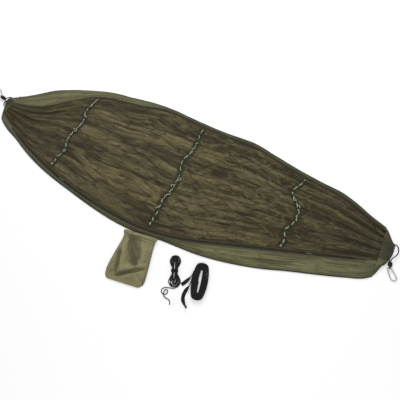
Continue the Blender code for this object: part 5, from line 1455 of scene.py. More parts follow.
@dataclass
class Trims:
    """The bound hems along both edges and the tape over the net's far seam."""

    hem_width: float = 0.0045
    hem_height: float = 0.005
    hem_foot: float = 1.05
    hem_wave: float = 0.0004
    tape_width: float = 0.012
    tape_cloth: float = 0.0012
    tape_crown: float = 0.0003

    def build(self) -> None:
        """Makes the hems and the tape."""
        x = np.linspace(-PLAN.cloth_end, PLAN.cloth_end, 360)
        section = [(across * (self.hem_foot if up < 0 else 1.0), up)
                   for across, up in oval_section(self.hem_width, self.hem_height, 10)]
        for name, y, side in (("far", PLAN.far(x), 1), ("near", PLAN.near(x), -1)):
            middle = offset_line(np.stack((x, y, 0 * x), axis=1), side * (TOUCH + self.hem_width / 2))
            middle[:, 2] = self.hem_height / 2 + self.hem_wave * (1 + np.sin(x * 61 + side))
            made = sweep(f"hem_{name}", middle, section, upright=True)
            finish_piece(made, Finish.TRIM, [f"bed_hem_{name}"])
        kept = x[np.abs(x) < PLAN.cloth_end - PLAN.gather_inset / 4]
        bottom, half = PLAN.net_seat + TOUCH, self.tape_width / 2
        line = np.stack((kept, PLAN.seam(kept), 0 * kept), axis=1)
        section = band_section(-half, half, bottom, bottom + self.tape_cloth, self.tape_crown)
        tape = sweep("seam_tape", line, section, upright=True)
        finish_piece(tape, Finish.SEAM, ["net_seam_tape"])


def block(name: str, size: Point, at: Point, bevel: float = 0.0) -> Piece:
    """Adds a block, as one start of a worked piece.

    Args:
        name: The piece's name.
        size: Its extents.
        at: Its middle.
        bevel: The width of its edge bevel, or 0 for sharp edges.

    Returns:
        The block, its place in its mesh.
    """
    deselect_all()
    bpy.ops.mesh.primitive_cube_add(size=1, location=at)
    made = bpy.context.object
    made.name = name
    made.scale = size
    bpy.ops.object.transform_apply(location=True, rotation=True, scale=True)
    if bevel > 0:
        bpy.ops.object.mode_set(mode="EDIT")
        bpy.ops.mesh.select_all(action="SELECT")
        bpy.ops.mesh.bevel(offset=bevel, segments=2, affect="EDGES", profile=0.6)
        bpy.ops.object.mode_set(mode="OBJECT")
    return made


def merge(name: str, items: Sequence[Piece]) -> Piece:
    """Joins pieces of one material into one object.

    Args:
        name: The joined piece's name.
        items: The pieces.

    Returns:
        The joined piece.
    """
    deselect_all()
    for item in items:
        item.select_set(True)
    bpy.context.view_layer.objects.active = items[0]
    bpy.ops.object.join()
    made = bpy.context.object
    made.name = name
    return made


def cut(made: Piece, tool: Piece, operation: str = "DIFFERENCE") -> None:
    """Cuts a piece with another, or unites them, and removes the tool.

    Args:
        made: The piece.
        tool: The other one, which goes.
        operation: The Boolean modifier's operation.
    """
    deselect_all()
    change = made.modifiers.new("cut", "BOOLEAN")
    change.object, change.operation, change.solver = tool, operation, "EXACT"
    made.select_set(True)
    bpy.context.view_layer.objects.active = made
    bpy.ops.object.modifier_apply(modifier=change.name)
    bpy.data.objects.remove(tool, do_unlink=True)


def soften(made: Piece, width: float) -> None:
    """Bevels a piece's sharp edges and shades it smooth by angle."""
    sharp = math.radians(40)
    deselect_all()
    made.select_set(True)
    bpy.context.view_layer.objects.active = made
    change = made.modifiers.new("soft_edges", "BEVEL")
    change.width, change.segments, change.limit_method = width, 2, "ANGLE"
    change.angle_limit = sharp
    bpy.ops.object.modifier_apply(modifier=change.name)
    bpy.ops.object.shade_smooth_by_angle(angle=sharp)


def put(made: Piece, place: Matrix) -> Piece:
    """Moves a piece's mesh to its place and leaves its object at the origin."""
    made.data.transform(place)
    made.data.update()
    return made


@dataclass
class Zip:
    """The zip: two tapes, two rows of single teeth, a stop at each end and two sliders with pull tabs."""

    slot: float = 0.0016
    tooth: Point = (0.0017, 0.0024, 0.0024)
    tooth_head: float = 0.72
    pitch: float = 0.0030
    teeth_bottom: float = 0.0075
    tape_width: float = 0.011
    tape_cloth: float = 0.0009
    tape_fade: float = 0.035
    tape_points: int = 300
    stop_length: float = 0.006
    stop_edge: float = 0.0006
    slider: Point = (0.012, 0.010, 0.0013)
    slider_edge: float = 0.00028
    corner: float = 0.004
    corner_out: float = 0.0006
    foot: float = 0.0009
    web: float = 0.0009
    bridge_span: float = 0.0052
    bridge_rise: float = 0.0024
    bridge_bar: float = 0.0013
    bridge_width: float = 0.0022
    pull: Point = (0.026, 0.0075, 0.0013)
    pull_edge: float = 0.0003
    pull_bar: float = 0.0014
    pull_eye: tuple[float, float] = (0.0054, 0.0036)
    pull_hole: tuple[float, float] = (0.0042, 0.0030)
    pull_hole_inset: float = 0.0050
    pull_waist: tuple[float, float] = (0.0085, 0.002)
    slider_shares: dict[Side, float] = field(default_factory=lambda: {Side.LEFT: -0.4603, Side.RIGHT: 0.6809})

    def build(self) -> None:
        """Makes every piece of the zip."""
        self.left, self.right = PLAN.zip_left * PLAN.half_length, PLAN.zip_right * PLAN.half_length
        self.teeth_top = self.teeth_bottom + self.tooth[2]
        self.inner = self.slot / 2
        self.outer = self.inner + self.tooth[1]
        self.tapes()
        self.teeth()
        self.stops()
        for side in Side:
            self.slider_piece(side)

    def frame_at(self, x: float) -> Matrix:
        """Returns the place and turn of the zip line at x."""
        reach = self.slider[0] / 2
        before, after = float(PLAN.zip_line(x - reach)), float(PLAN.zip_line(x + reach))
        turn = math.atan2(after - before, 2 * reach)
        return Matrix.Translation((x, float(PLAN.zip_line(x)), 0)) @ Matrix.Rotation(turn, 4, "Z")

    def line(self, count: int) -> np.ndarray:
        """Returns points of the zip's centre line, level and evenly spaced along X."""
        x = np.linspace(self.left, self.right, count)
        return np.stack((x, PLAN.zip_line(x), np.zeros_like(x)), axis=1)

    def tapes(self) -> None:
        """Makes the two woven tapes, each with its cord edge along the teeth."""
        bottom = PLAN.net_seat + TOUCH
        inner = self.outer + TOUCH
        along = np.linspace(0, 1, self.tape_points)
        shown = ease(np.minimum(along, 1 - along) / self.tape_fade)
        for name, side, finish in (("net", -1, Finish.ZIP_TAPE_NET), ("bed", 1, Finish.ZIP_TAPE_BED)):
            low, high = sorted((side * inner, side * (inner + self.tape_width)))
            section = band_section(low, high, bottom, bottom + self.tape_cloth)
            made = sweep(f"zip_tape_{name}", self.line(self.tape_points), section, upright=True)
            share = [1 - (abs(across) - inner) / self.tape_width for across, _ in section]
            set_relief(made, np.outer(shown, share).ravel())
            finish_piece(made, finish, [f"zip_tape_{name}_side"])

    def tooth_places(self, side: int) -> tuple[np.ndarray, ...]:
        """Returns where a row's teeth stand, as x and y, and the zip's direction there, as x and y."""
        line = self.line(1600)
        reach = distances(line)
        count = int((reach[-1] - self.pitch) / self.pitch)
        places = (np.arange(count) + (0.5 if side > 0 else 1.0)) * self.pitch
        x, y = (np.interp(places, reach, line[:, axis]) for axis in (0, 1))
        ahead_x, ahead_y = (np.interp(places + 0.0005, reach, line[:, axis]) for axis in (0, 1))
        ux, uy = ahead_x - x, ahead_y - y
        norm = np.hypot(ux, uy)
        return x, y, ux / norm, uy / norm

    def tooth_rings(self, side: int) -> list[tuple[float, float, float]]:
        """Returns one tooth's three rings of six corners: along the zip, across it and up."""
        long, _, rise = self.tooth
        middle = (self.inner + self.outer) / 2
        profile = ((-long * 0.34, self.outer), (long * 0.34, self.outer), (long * 0.5, self.inner * 1.9),
                   (long * 0.28, self.inner), (-long * 0.28, self.inner), (-long * 0.5, self.inner * 1.9))
        levels = ((self.teeth_bottom, 1.0), (self.teeth_bottom + rise * 0.8, 1.0),
                  (self.teeth_top, self.tooth_head))
        return [(along * shrink, side * (middle + (across - middle) * shrink), z)
                for z, shrink in levels for along, across in profile]

    def teeth(self) -> None:
        """Makes both rows, each tooth a small block with a rounded head towards the slot."""
        for side, row in ((1, "net"), (-1, "bed")):
            x, y, ux, uy = self.tooth_places(side)
            corners = self.tooth_rings(side)
            points = np.array([(x + ux * along - uy * across, y + uy * along + ux * across, 0 * x + z)
                               for along, across, z in corners]).transpose(2, 0, 1)
            size = len(corners) // 3
            tooth = [(low + j, low + (j + 1) % size, low + size + (j + 1) % size, low + size + j)
                     for low in (0, size) for j in range(size)]
            tooth += [tuple(range(size)), tuple(reversed(range(2 * size, 3 * size)))]
            faces = [tuple(base + corner for corner in face)
                     for base in range(0, len(x) * 3 * size, 3 * size) for face in tooth]
            made = closed_piece(f"zip_teeth_{row}_row", points.reshape(-1, 3), faces, smooth=False)
            finish_piece(made, Finish.ZIP_METAL, [f"zip_teeth_{row}_side"])

    def stops(self) -> None:
        """Makes the two crimped end stops."""
        low = PLAN.cloth_top + TOUCH
        size = (self.stop_length, 2 * self.outer, self.teeth_top - low)
        for side, x, sign in (("left", self.left, -1), ("right", self.right, 1)):
            along = sign * (self.stop_length / 2 + 2 * TOUCH)
            made = block(f"zip_end_stop_{side}", size, (along, 0, (self.teeth_top + low) / 2), self.stop_edge)
            cut(made, block("groove", (self.stop_length * 0.16, 3 * self.outer, 0.0006),
                            (along, 0, self.teeth_top)))
            put(made, self.frame_at(x))
            finish_piece(made, Finish.ZIP_METAL, [f"zip_stop_{side}"])

    def slider_piece(self, side: Side) -> None:
        """Makes one slider and its pull tab."""
        place = self.frame_at(self.slider_shares[side] * PLAN.half_length)
        bottom = self.teeth_top + TOUCH
        top = bottom + self.slider[2]
        body = self.slider_body(f"slider_{side.value}", bottom, top)
        tab = self.pull_tab(f"pull_{side.value}", top)
        for kind, made in (("slider", body), ("pull", tab)):
            put(made, place)
            name = f"zip_{kind}_{side.value}"
            finish_piece(made, Finish.ZIP_METAL, [name], name)

    def slider_body(self, name: str, bottom: float, top: float) -> Piece:
        """Makes a slider's plate with its cut corners, its web, its foot and its bridge.

        Args:
            name: The slider's name.
            bottom: The height of the plate's underside.
            top: The height of its top.

        Returns:
            The slider, standing at the origin.
        """
        length, width, plate = self.slider
        body = block(name, self.slider, (0, 0, (bottom + top) / 2))
        for sign in (-1, 1):
            for end in (-1, 1):
                x, y = end * length / 2, sign * (width / 2 + self.corner_out)
                corner = block("corner", (self.corner, self.corner, 0.01), (x, y, top))
                put(corner, Matrix.Translation((x, y, 0)) @ Matrix.Rotation(math.radians(45), 4, "Z")
                    @ Matrix.Translation((-x, -y, 0)))
                cut(body, corner)
        foot_top = self.teeth_bottom - TOUCH
        foot = block("foot", (length, width * 0.9, self.foot), (0, 0, foot_top - self.foot / 2))
        web_low, web_high = foot_top - self.foot / 2, (bottom + top) / 2
        web = block("web", (length / 2, self.web, web_high - web_low), (0, 0, (web_high + web_low) / 2))
        outer = self.bridge_span / 2 + self.bridge_bar
        rise = self.bridge_rise + self.bridge_bar
        arch = block("arch", (2 * outer, self.bridge_width, rise + plate / 2),
                     (0, 0, top + (rise - plate / 2) / 2))
        cut(arch, block("hole", (self.bridge_span, self.bridge_width * 2, self.bridge_rise),
                        (0, 0, top + self.bridge_rise / 2)))
        for tool in (web, foot, arch):
            cut(body, tool, "UNION")
        soften(body, self.slider_edge)
        return body

    def pull_tab(self, name: str, top: float) -> Piece:
        """Makes a pull tab with its eye, its waist and the hole at its tip, lying on its slider.

        Args:
            name: The tab's name.
            top: The height of the slider's plate.

        Returns:
            The tab, its hinge at the origin.
        """
        long, wide, thick = self.pull
        z, deep, hinge = top + TOUCH + thick / 2, 4 * thick, self.pull_bar / 2
        tab = block(name, self.pull, (hinge - long / 2, 0, z))
        cut(tab, block("eye", (*self.pull_eye, deep), (-hinge - self.pull_eye[0] / 2, 0, z)))
        cut(tab, block("tip_hole", (*self.pull_hole, deep), (hinge - long + self.pull_hole_inset, 0, z)))
        for sign in (-1, 1):
            cut(tab, block("waist", (*self.pull_waist, deep), (-long * 0.48, sign * (wide / 2 + 0.0004), z)))
        soften(tab, self.pull_edge)
        return tab


@dataclass
class CrossLines:
    """The three tapes over the net, each with keeper loops and a flecked cord laced through them."""

    tape_width: float = 0.020
    tape_cloth: float = 0.0012
    tape_crown: float = 0.0002
    cord: float = 0.0055
    keeper: float = 0.013
    keeper_cloth: float = 0.0016
    keeper_stand: float = 0.0011
    pitch: float = 0.055
    start_share: float = 0.035
    run_share: float = 0.925
    lay: float = 0.034
    lay_rate: tuple[float, float] = (0.75, 1.3)
    tight: float = 0.38
    slack: float = 0.30
    bights: int = 3
    bight_half: float = 0.0105
    bight_reach: tuple[float, float] = (0.009, 0.017)

    def build(self) -> None:
        """Makes the three lines."""
        for number in range(len(PLAN.cross_lines)):
            self.line(number)

    def route(self, number: int) -> list[Vector]:
        """Returns the cord's route over the net."""
        far_x, near_x = PLAN.cross_lines[number]
        v = self.start_share + self.run_share * np.arange(19) / 18
        x, y = PLAN.net_point(np.full_like(v, (far_x + near_x) / 2), v)
        z = PLAN.net_seat + TOUCH + self.tape_cloth + TOUCH + self.cord / 2
        return smooth_route([(a, b, z) for a, b in zip(x, y)], 0.006)

    def line(self, number: int) -> None:
        """Makes one tape with its keepers, and its cord."""
        route = self.route(number)
        bottom, half = PLAN.net_seat + TOUCH, self.tape_width / 2
        top = bottom + self.tape_cloth
        section = band_section(-half, half, bottom, top, self.tape_crown)
        tape = sweep(f"tape_{number + 1}", as_rows(route) * (1, 1, 0), section, upright=True)
        count = int(route_length(route) / self.pitch)
        keepers = [self.keeper_loop(route, (i + 0.5) / count, top) for i in range(count)]
        made = merge(f"laced_tape_{number + 1}", [tape, *keepers])
        finish_piece(made, Finish.CROSS_TAPE, [f"cross_tape_{number + 1}"])
        strands = [self.strand(route, number, phase) for phase in (0.0, math.pi)]
        cord = merge(f"flecked_cord_{number + 1}", strands)
        finish_piece(cord, Finish.LACING, [f"lacing_cord_{number + 1}"])

    def strand(self, route: list[Vector], number: int, phase: float) -> Piece:
        """Makes one of the cord's two strands, laid round the other, with slack bights between keepers.

        Args:
            route: The cord's middle line.
            number: Which cross line it is on.
            phase: Where it starts round the other strand.

        Returns:
            The strand.
        """
        draw = np.random.default_rng(700 + 10 * number + int(phase))
        line = as_rows(smooth_route(route, 0.0028))
        reach = distances(line)
        length, count = reach[-1], int(reach[-1] / self.pitch)
        knots = np.linspace(0, length, 2 * count + 1)
        rate = np.interp(reach, knots, draw.uniform(*self.lay_rate, 2 * count + 1))
        angle = phase + 2 * math.pi * np.cumsum(rate) * np.gradient(reach) / self.lay
        held = np.clip(np.abs(((reach / length * count) % 1) - 0.5) * 2, 0, 1)
        loose = ease((held - 0.42) / 0.4)
        give = np.interp(reach, knots, draw.uniform(0.2, 1.6, 2 * count + 1))
        spread = self.cord * (self.tight + self.slack * loose * give)
        side = np.cos(angle) * spread
        rise = np.abs(np.sin(angle)) * spread * 0.9
        for spot in draw.choice(count - 1, self.bights, replace=False) + 1:
            near = (reach - length * spot / count) / self.bight_half
            bight = np.exp(-(near**2)) * draw.choice((-1, 1)) * draw.uniform(*self.bight_reach)
            side, rise = side + bight, rise + np.abs(bight) * 0.35
        moved = offset_line(line, side)
        moved[:, 2] += rise
        fat = 0.86 + 0.16 * np.interp(reach, knots, draw.uniform(0, 1, 2 * count + 1))
        return sweep("strand", moved, round_section(self.cord, 9), scale=fat)

    def keeper_loop(self, route: list[Vector], share: float, top: float) -> Piece:
        """Makes one keeper: a short band that arches over the cord and lies flat on both sides.

        Args:
            route: The cord's middle line.
            share: Where along it the keeper is.
            top: The height of the tape's top.

        Returns:
            The keeper.
        """
        spot = share * (len(route) - 1)
        low = int(spot)
        at = route[low].lerp(route[low + 1], spot - low)
        turn = math.atan2(route[low + 1].y - route[low].y, route[low + 1].x - route[low].x)
        reach, cloth = self.cord / 2 + self.keeper_stand, self.keeper_cloth * 0.75
        arch = [(reach * 2.1, 0.0), (reach * 1.25, 0.0002)]
        arch += [(reach * math.cos(a), self.cord * 1.05 * math.sin(a))
                 for a in np.linspace(0.25, math.pi - 0.25, 9)]
        arch += [(-reach * 1.25, 0.0002), (-reach * 2.1, 0.0)]
        points = [Vector((0, y, top + z + cloth / 2 + TOUCH / 2)) for y, z in arch]
        half, thick = self.keeper / 2, cloth / 2
        made = sweep("keeper", points, [(-half, -thick), (half, -thick), (half, thick), (-half, thick)])
        return put(made, Matrix.Translation((at.x, at.y, 0)) @ Matrix.Rotation(turn, 4, "Z"))


@dataclass(frozen=True)
class EndPlan:
    """How one end is laid: lengths from the half length or from the knot, turns in degrees."""

    knot_inset: float
    knot_y: float
    turn: float
    swing: float
    tip_inset: float
    tip_near: float
    tip_far: float
    tip_bulge: float
    tip_lean: float
    route: Sequence[Point]


END_PLANS: dict[Side, EndPlan] = {
    Side.RIGHT: EndPlan(knot_inset=0.009, knot_y=-0.016, turn=-80.0, swing=32.0, tip_inset=0.013,
                        tip_near=-0.018, tip_far=0.128, tip_bulge=0.012, tip_lean=0.026, route=RIGHT_ROPE),
    Side.LEFT: EndPlan(knot_inset=-0.002, knot_y=-0.006, turn=168.0, swing=-22.0, tip_inset=0.038,
                       tip_near=-0.034, tip_far=0.022, tip_bulge=0.008, tip_lean=0.0, route=LEFT_ROPE),
}


@dataclass
class EndFitting:
    """One gathered end: the cloth sleeve, its rope, the knot and the wire carabiner."""

    side: Side
    rope: float = 0.006
    eye_space: float = 0.0068
    eye_steps: int = 8
    knot_length: float = 0.028
    knot_wall: float = 0.0020
    knot_wraps: int = 4
    wrap_points: int = 22
    wrap_share: float = 0.92
    wire: float = 0.0068
    carabiner_length: float = 0.0815
    narrow_bend: float = 0.011
    wide_bend: float = 0.0165
    bend_steps: int = 32
    gate_wire: float = 0.0064
    gate_slot: float = 0.0032
    gate_sides: int = 20
    tongue: tuple[float, float] = (0.0050, 0.0024)
    pivot_setback: float = 0.0044
    rivet: float = 0.0022
    rivet_stand: float = 0.0004
    rivet_head: float = 0.00035
    rivet_edge: float = 0.00012
    spring_radius: float = 0.0011
    spring_run: float = 0.009
    spring_wire: float = 0.0005
    spring_turns: int = 4
    sleeve_height: float = 0.016
    sleeve_steps: int = 34
    sleeve_rows: int = 168
    pleat: float = 0.004
    pleats: int = 12

    def __post_init__(self) -> None:
        """Works out the places that the pieces share."""
        self.plan = END_PLANS[self.side]
        self.sign = 1 if self.side is Side.RIGHT else -1
        self.knot_place = Vector((self.sign * (PLAN.half_length - self.plan.knot_inset), self.plan.knot_y, 0))
        self.low = self.knot_wall + 2 * TOUCH + self.rope / 2
        self.high = self.low + 2 * self.eye_space
        self.middle = self.low + self.eye_space
        self.wire_x = self.knot_length / 2 + 3 * TOUCH + self.wire / 2
        turn = math.radians(self.plan.turn)
        self.frame = Matrix.Translation(self.knot_place) @ Matrix.Rotation(turn, 4, "Z")
        self.lean = math.asin((self.middle - self.wire / 2 - TOUCH) / (self.carabiner_length - self.wire))
        self.span = self.carabiner_length - self.wire - self.narrow_bend - self.wide_bend
        tip = self.frame @ Vector((self.wire_x, 0, self.middle))
        self.swing = (
            Matrix.Translation(tip) @ Matrix.Rotation(turn, 4, "Z") @ Matrix.Rotation(self.lean, 4, "Y")
            @ Matrix.Translation((self.narrow_bend, 0, 0))
            @ Matrix.Rotation(math.radians(self.plan.swing), 4, "Z")
        )
        self.body = f"carabiner_{self.side.value}"
        self.gate_body = f"carabiner_gate_{self.side.value}"

    def build(self) -> None:
        """Makes every piece of this end."""
        eye, free = self.rope_routes()
        side = self.side.value
        loop = smooth_route(eye + free[1:-1], 0.0022, cyclic=True)
        rope = sweep(f"rope_{side}", loop, round_section(self.rope, 14), cyclic=True)
        finish_piece(rope, Finish.ROPE, [f"end_rope_{side}"])
        self.knot()
        self.sleeve()
        self.carabiner()

    def rope_routes(self) -> tuple[list[Vector], list[Vector]]:
        """Returns the rope's way through knot and carabiner, and its free way round through the sleeve."""
        along = (-self.knot_length / 2 - self.rope / 3, 0.0, self.wire_x - self.rope / 3)
        eye = [self.frame @ Vector((s, 0, self.low)) for s in along]
        for i in range(1, self.eye_steps):
            angle = -math.pi / 2 + math.pi * i / self.eye_steps
            eye.append(self.frame @ Vector((self.wire_x + self.eye_space * math.cos(angle), 0,
                                            self.middle + self.eye_space * math.sin(angle))))
        eye += [self.frame @ Vector((s, 0, self.high)) for s in reversed(along)]
        route = [self.knot_place + Vector(p) for p in self.plan.route]
        return eye, smooth_route([eye[-1], *route, eye[0]], self.rope)

    def knot(self) -> None:
        """Makes the knot: a barrel of rope wraps round both strands, with the crossing wrap over them."""
        wrap = self.rope * self.wrap_share
        track = self.eye_space + self.rope / 2 + self.knot_wall + TOUCH - wrap / 2
        reach = self.knot_length / 2 - wrap / 2
        points = []
        for i in range(self.knot_wraps * self.wrap_points + 1):
            share = i / (self.knot_wraps * self.wrap_points)
            angle = 2 * math.pi * self.knot_wraps * share
            points.append((reach * (1 - 2 * share), track * math.cos(angle), track * math.sin(angle)))
        coil = sweep("wraps", points, round_section(wrap, 12))
        crossing, over_track = [], track + wrap * 0.18
        for i in range(15):
            share = i / 14
            angle = math.pi * (0.30 + 0.42 * share)
            crossing.append((reach * 0.9 * (1 - 2 * share), over_track * math.cos(angle),
                             over_track * math.sin(angle)))
        over = sweep("crossing", crossing, round_section(wrap * 0.9, 12))
        core = sweep("core", [(reach * s, 0, 0) for s in (-1.0, -0.6, 0.0, 0.6, 1.0)],
                     round_section(2 * (track - wrap * 0.15), 20), scale=[0.8, 1, 1, 1, 0.8])
        made = merge(f"knot_{self.side.value}", [coil, over, core])
        put(made, self.frame @ Matrix.Translation((0, 0, self.middle)))
        finish_piece(made, Finish.ROPE, [f"end_knot_{self.side.value}"])

    def sleeve(self) -> None:
        """Makes the gathered end of the cloth, drawn into fine pleats towards the rope."""
        start = self.sign * (PLAN.cloth_end + TOUCH)
        near, far = float(PLAN.near(start)), float(PLAN.far(start))
        tip_x = self.knot_place.x - self.sign * self.plan.tip_inset
        u = np.linspace(0, 1, self.sleeve_steps)[:, None]
        v = np.linspace(0, 1, self.sleeve_rows)[None, :]
        phase = v * self.pleats * math.pi + 0.5 * np.sin(3 * math.pi * v + 2 * u)
        fold = np.abs(np.sin(phase)) ** 1.3
        minor = np.abs(np.sin(phase * 2.3 + 1.0 + 0.8 * u)) ** 1.5

        tip_at = tip_x + self.sign * self.plan.tip_bulge * np.sin(math.pi * v)
        tip_at = tip_at + self.plan.tip_lean * (v - 0.5)
        x = start + (tip_at - start) * u
        tip_near, tip_far = self.plan.knot_y + self.plan.tip_near, self.plan.knot_y + self.plan.tip_far
        base, tip = near + (far - near) * v, tip_near + (tip_far - tip_near) * v
        y = base + (tip - base) * ease(u) ** 0.9
        crown = PLAN.net_seat + (self.sleeve_height - PLAN.net_seat) * ease(u * 1.6)
        z = crown - self.pleat * (0.4 + 0.6 * u) * (0.8 * fold + 0.45 * minor * u)
        shoulder = np.sqrt(np.clip(1 - np.abs(2 * v - 1) ** 8, 0, 1))
        lip = 1 - 0.35 * ease((u - 0.86) / 0.14)
        z = np.maximum(z * (0.35 + 0.65 * shoulder) * lip, 0.001)
        top = np.stack((x + 0 * y, y, z), axis=2)

        band_near = (float(PLAN.zip_line(start)) - near) / (far - near) + 0.05 * np.sin(5 * u)
        band_far = (float(PLAN.seam(start)) - near) / (far - near) + 0.03 * np.sin(4 * u + 1)
        pale = np.maximum(1 - ease((v - band_near) / 0.06 + 0.5), ease((v - band_far) / 0.06 + 0.5))
        # drawn marks broad pleat bands that are painted only, not shaped; with fold and minor it makes the
        # painted shade that lowers the relief.
        drawn = np.abs(np.sin(2.2 * math.pi * v + 0.9 * np.sin(7 * v) + 0.7 * u + 0.4)) ** 1.4
        shade = (0.18 * fold + 0.12 * minor + 0.50 * drawn) * (0.45 + 0.55 * ease(u * 2))
        relief = 0.56 + 0.28 * pale * (1 - 0.35 * u) - shade
        made = slab(f"sleeve_{self.side.value}", top[::self.sign], 0.0, relief[::self.sign])
        finish_piece(made, Finish.SLEEVE, [f"end_sleeve_{self.side.value}"])

    def carabiner(self) -> None:
        """Makes the bent wire body with its lug, the rivet, the gate and the gate's spring."""
        side = self.side.value
        flare = self.wide_bend - self.narrow_bend
        turned = math.pi / 2 + math.asin(flare / self.span)
        leg = math.sqrt(self.span**2 - flare**2)
        shares = [i / self.bend_steps for i in range(self.bend_steps + 1)]
        wide_turns = [turned - 2 * turned * share for share in shares]
        narrow_turns = [turned + (2 * math.pi - 2 * turned) * (1 - share) for share in shares]
        points = self.bend(self.span, self.wide_bend, wide_turns)
        points += self.bend(0, self.narrow_bend, narrow_turns)
        body = sweep(f"carabiner_wire_{side}", points, round_section(self.wire, 20))
        root, nose = points[-1], points[0]
        along = (nose - root).normalized()
        leg_frame = Matrix.Translation(root) @ Matrix.Rotation(math.atan2(along.y, along.x), 4, "Z")
        to_pivot = Matrix.Translation((self.pivot_setback, 0, 0))
        wide, thick = self.tongue
        sunk = self.wire / 2
        lug = block("lug", (self.pivot_setback + sunk, wide, thick), ((self.pivot_setback - sunk) / 2, 0, 0))
        eye = self.turned_bar("eye", wide / 2, -thick / 2, thick / 2, 20)
        put(eye, to_pivot)
        cut(lug, eye, "UNION")
        put(lug, leg_frame)
        cut(body, lug, "UNION")
        bpy.ops.object.shade_smooth_by_angle(angle=math.radians(45))
        put(body, self.swing)
        finish_piece(body, Finish.STEEL, [f"carabiner_body_{side}"], self.body)
        place = self.swing @ leg_frame @ to_pivot
        self.gate_rivet(place)
        self.gate(leg, place)
        self.gate_spring(place)

    def bend(self, middle: float, radius: float, angles: Iterable[float]) -> list[Vector]:
        """Returns the wire's points round one end of the carabiner."""
        return [Vector((middle + radius * math.cos(angle), radius * math.sin(angle), 0)) for angle in angles]

    def turned_bar(self, name: str, radius: float, low: float, high: float, sides: int) -> Piece:
        """Adds a short round bar along Z."""
        deselect_all()
        bpy.ops.mesh.primitive_cylinder_add(vertices=sides, radius=radius, depth=high - low,
                                            location=(0, 0, (high + low) / 2))
        made = bpy.context.object
        made.name = name
        bpy.ops.object.transform_apply(location=True, rotation=True, scale=True)
        return made

    def gate_rivet(self, place: Matrix) -> None:
        """Makes the gate's rivet, a pin with a flat head at each end."""
        half, radius = self.gate_wire / 2 + self.rivet_stand, self.rivet / 2
        pin = self.turned_bar("pin", radius, -half, half, 16)
        ends = [sorted((s * half, s * (half - self.rivet_head))) for s in (-1, 1)]
        heads = [self.turned_bar("head", radius, low, high, 16) for low, high in ends]
        pin = merge(f"rivet_{self.side.value}", [pin, *heads])
        soften(pin, self.rivet_edge)
        put(pin, place)
        finish_piece(pin, Finish.STEEL, [f"carabiner_rivet_{self.side.value}"], self.body)

    def gate(self, leg: float, place: Matrix) -> None:
        """Makes the gate: a bar rounded at its pivot and slotted over the lug."""
        side, radius, sides = self.side.value, self.gate_wire / 2, self.gate_sides
        length = leg - self.pivot_setback - 2 * TOUCH
        profile = [(radius * math.cos(turn), -radius * math.sin(turn))
                   for turn in np.linspace(math.pi / 2 - 0.08, 0, 9)]
        profile += [(radius, length * 0.62), (radius * 0.97, length * 0.66), (radius, length * 0.70),
                    (radius, length - radius * 0.22), (radius * 0.84, length)]
        turns = [2 * math.pi * k / sides for k in range(sides)]
        points = np.array([(r * math.cos(turn), r * math.sin(turn), z) for r, z in profile for turn in turns])
        faces = [*grid_faces(len(profile), sides, wrap_columns=True), *end_caps(len(profile), sides)]
        gate = closed_piece(f"gate_{side}", points, faces, points[:, :2])
        put(gate, Matrix.Rotation(math.pi / 2, 4, "Y"))
        past = radius + 0.002
        deep = self.slot_depth()
        cut(gate, block("slot", (deep + past, self.gate_wire + 0.002, self.gate_slot),
                        ((deep - past) / 2, 0, 0)))
        bpy.ops.object.shade_smooth_by_angle(angle=math.radians(45))
        put(gate, place)
        finish_piece(gate, Finish.STEEL, [f"carabiner_gate_{side}"], self.gate_body)

    def slot_depth(self) -> float:
        """Returns how deep the gate is slotted past its pivot."""
        return self.tongue[0] / 2 + 2 * TOUCH

    def gate_spring(self, place: Matrix) -> None:
        """Makes the small coil spring inside the gate."""
        coil, points_a_turn = self.spring_radius, 14
        steps = self.spring_turns * points_a_turn
        start = self.slot_depth() + TOUCH + self.spring_wire
        run = self.spring_run - 2 * self.spring_wire
        points = []
        for i in range(steps + 1):
            angle = 2 * math.pi * i / points_a_turn
            points.append((start + run * i / steps, coil * math.cos(angle), coil * math.sin(angle)))
        side = self.side.value
        spring = sweep(f"spring_{side}", points, round_section(self.spring_wire, 6))
        put(spring, place)
        finish_piece(spring, Finish.STEEL, [f"gate_spring_{side}"], self.gate_body)


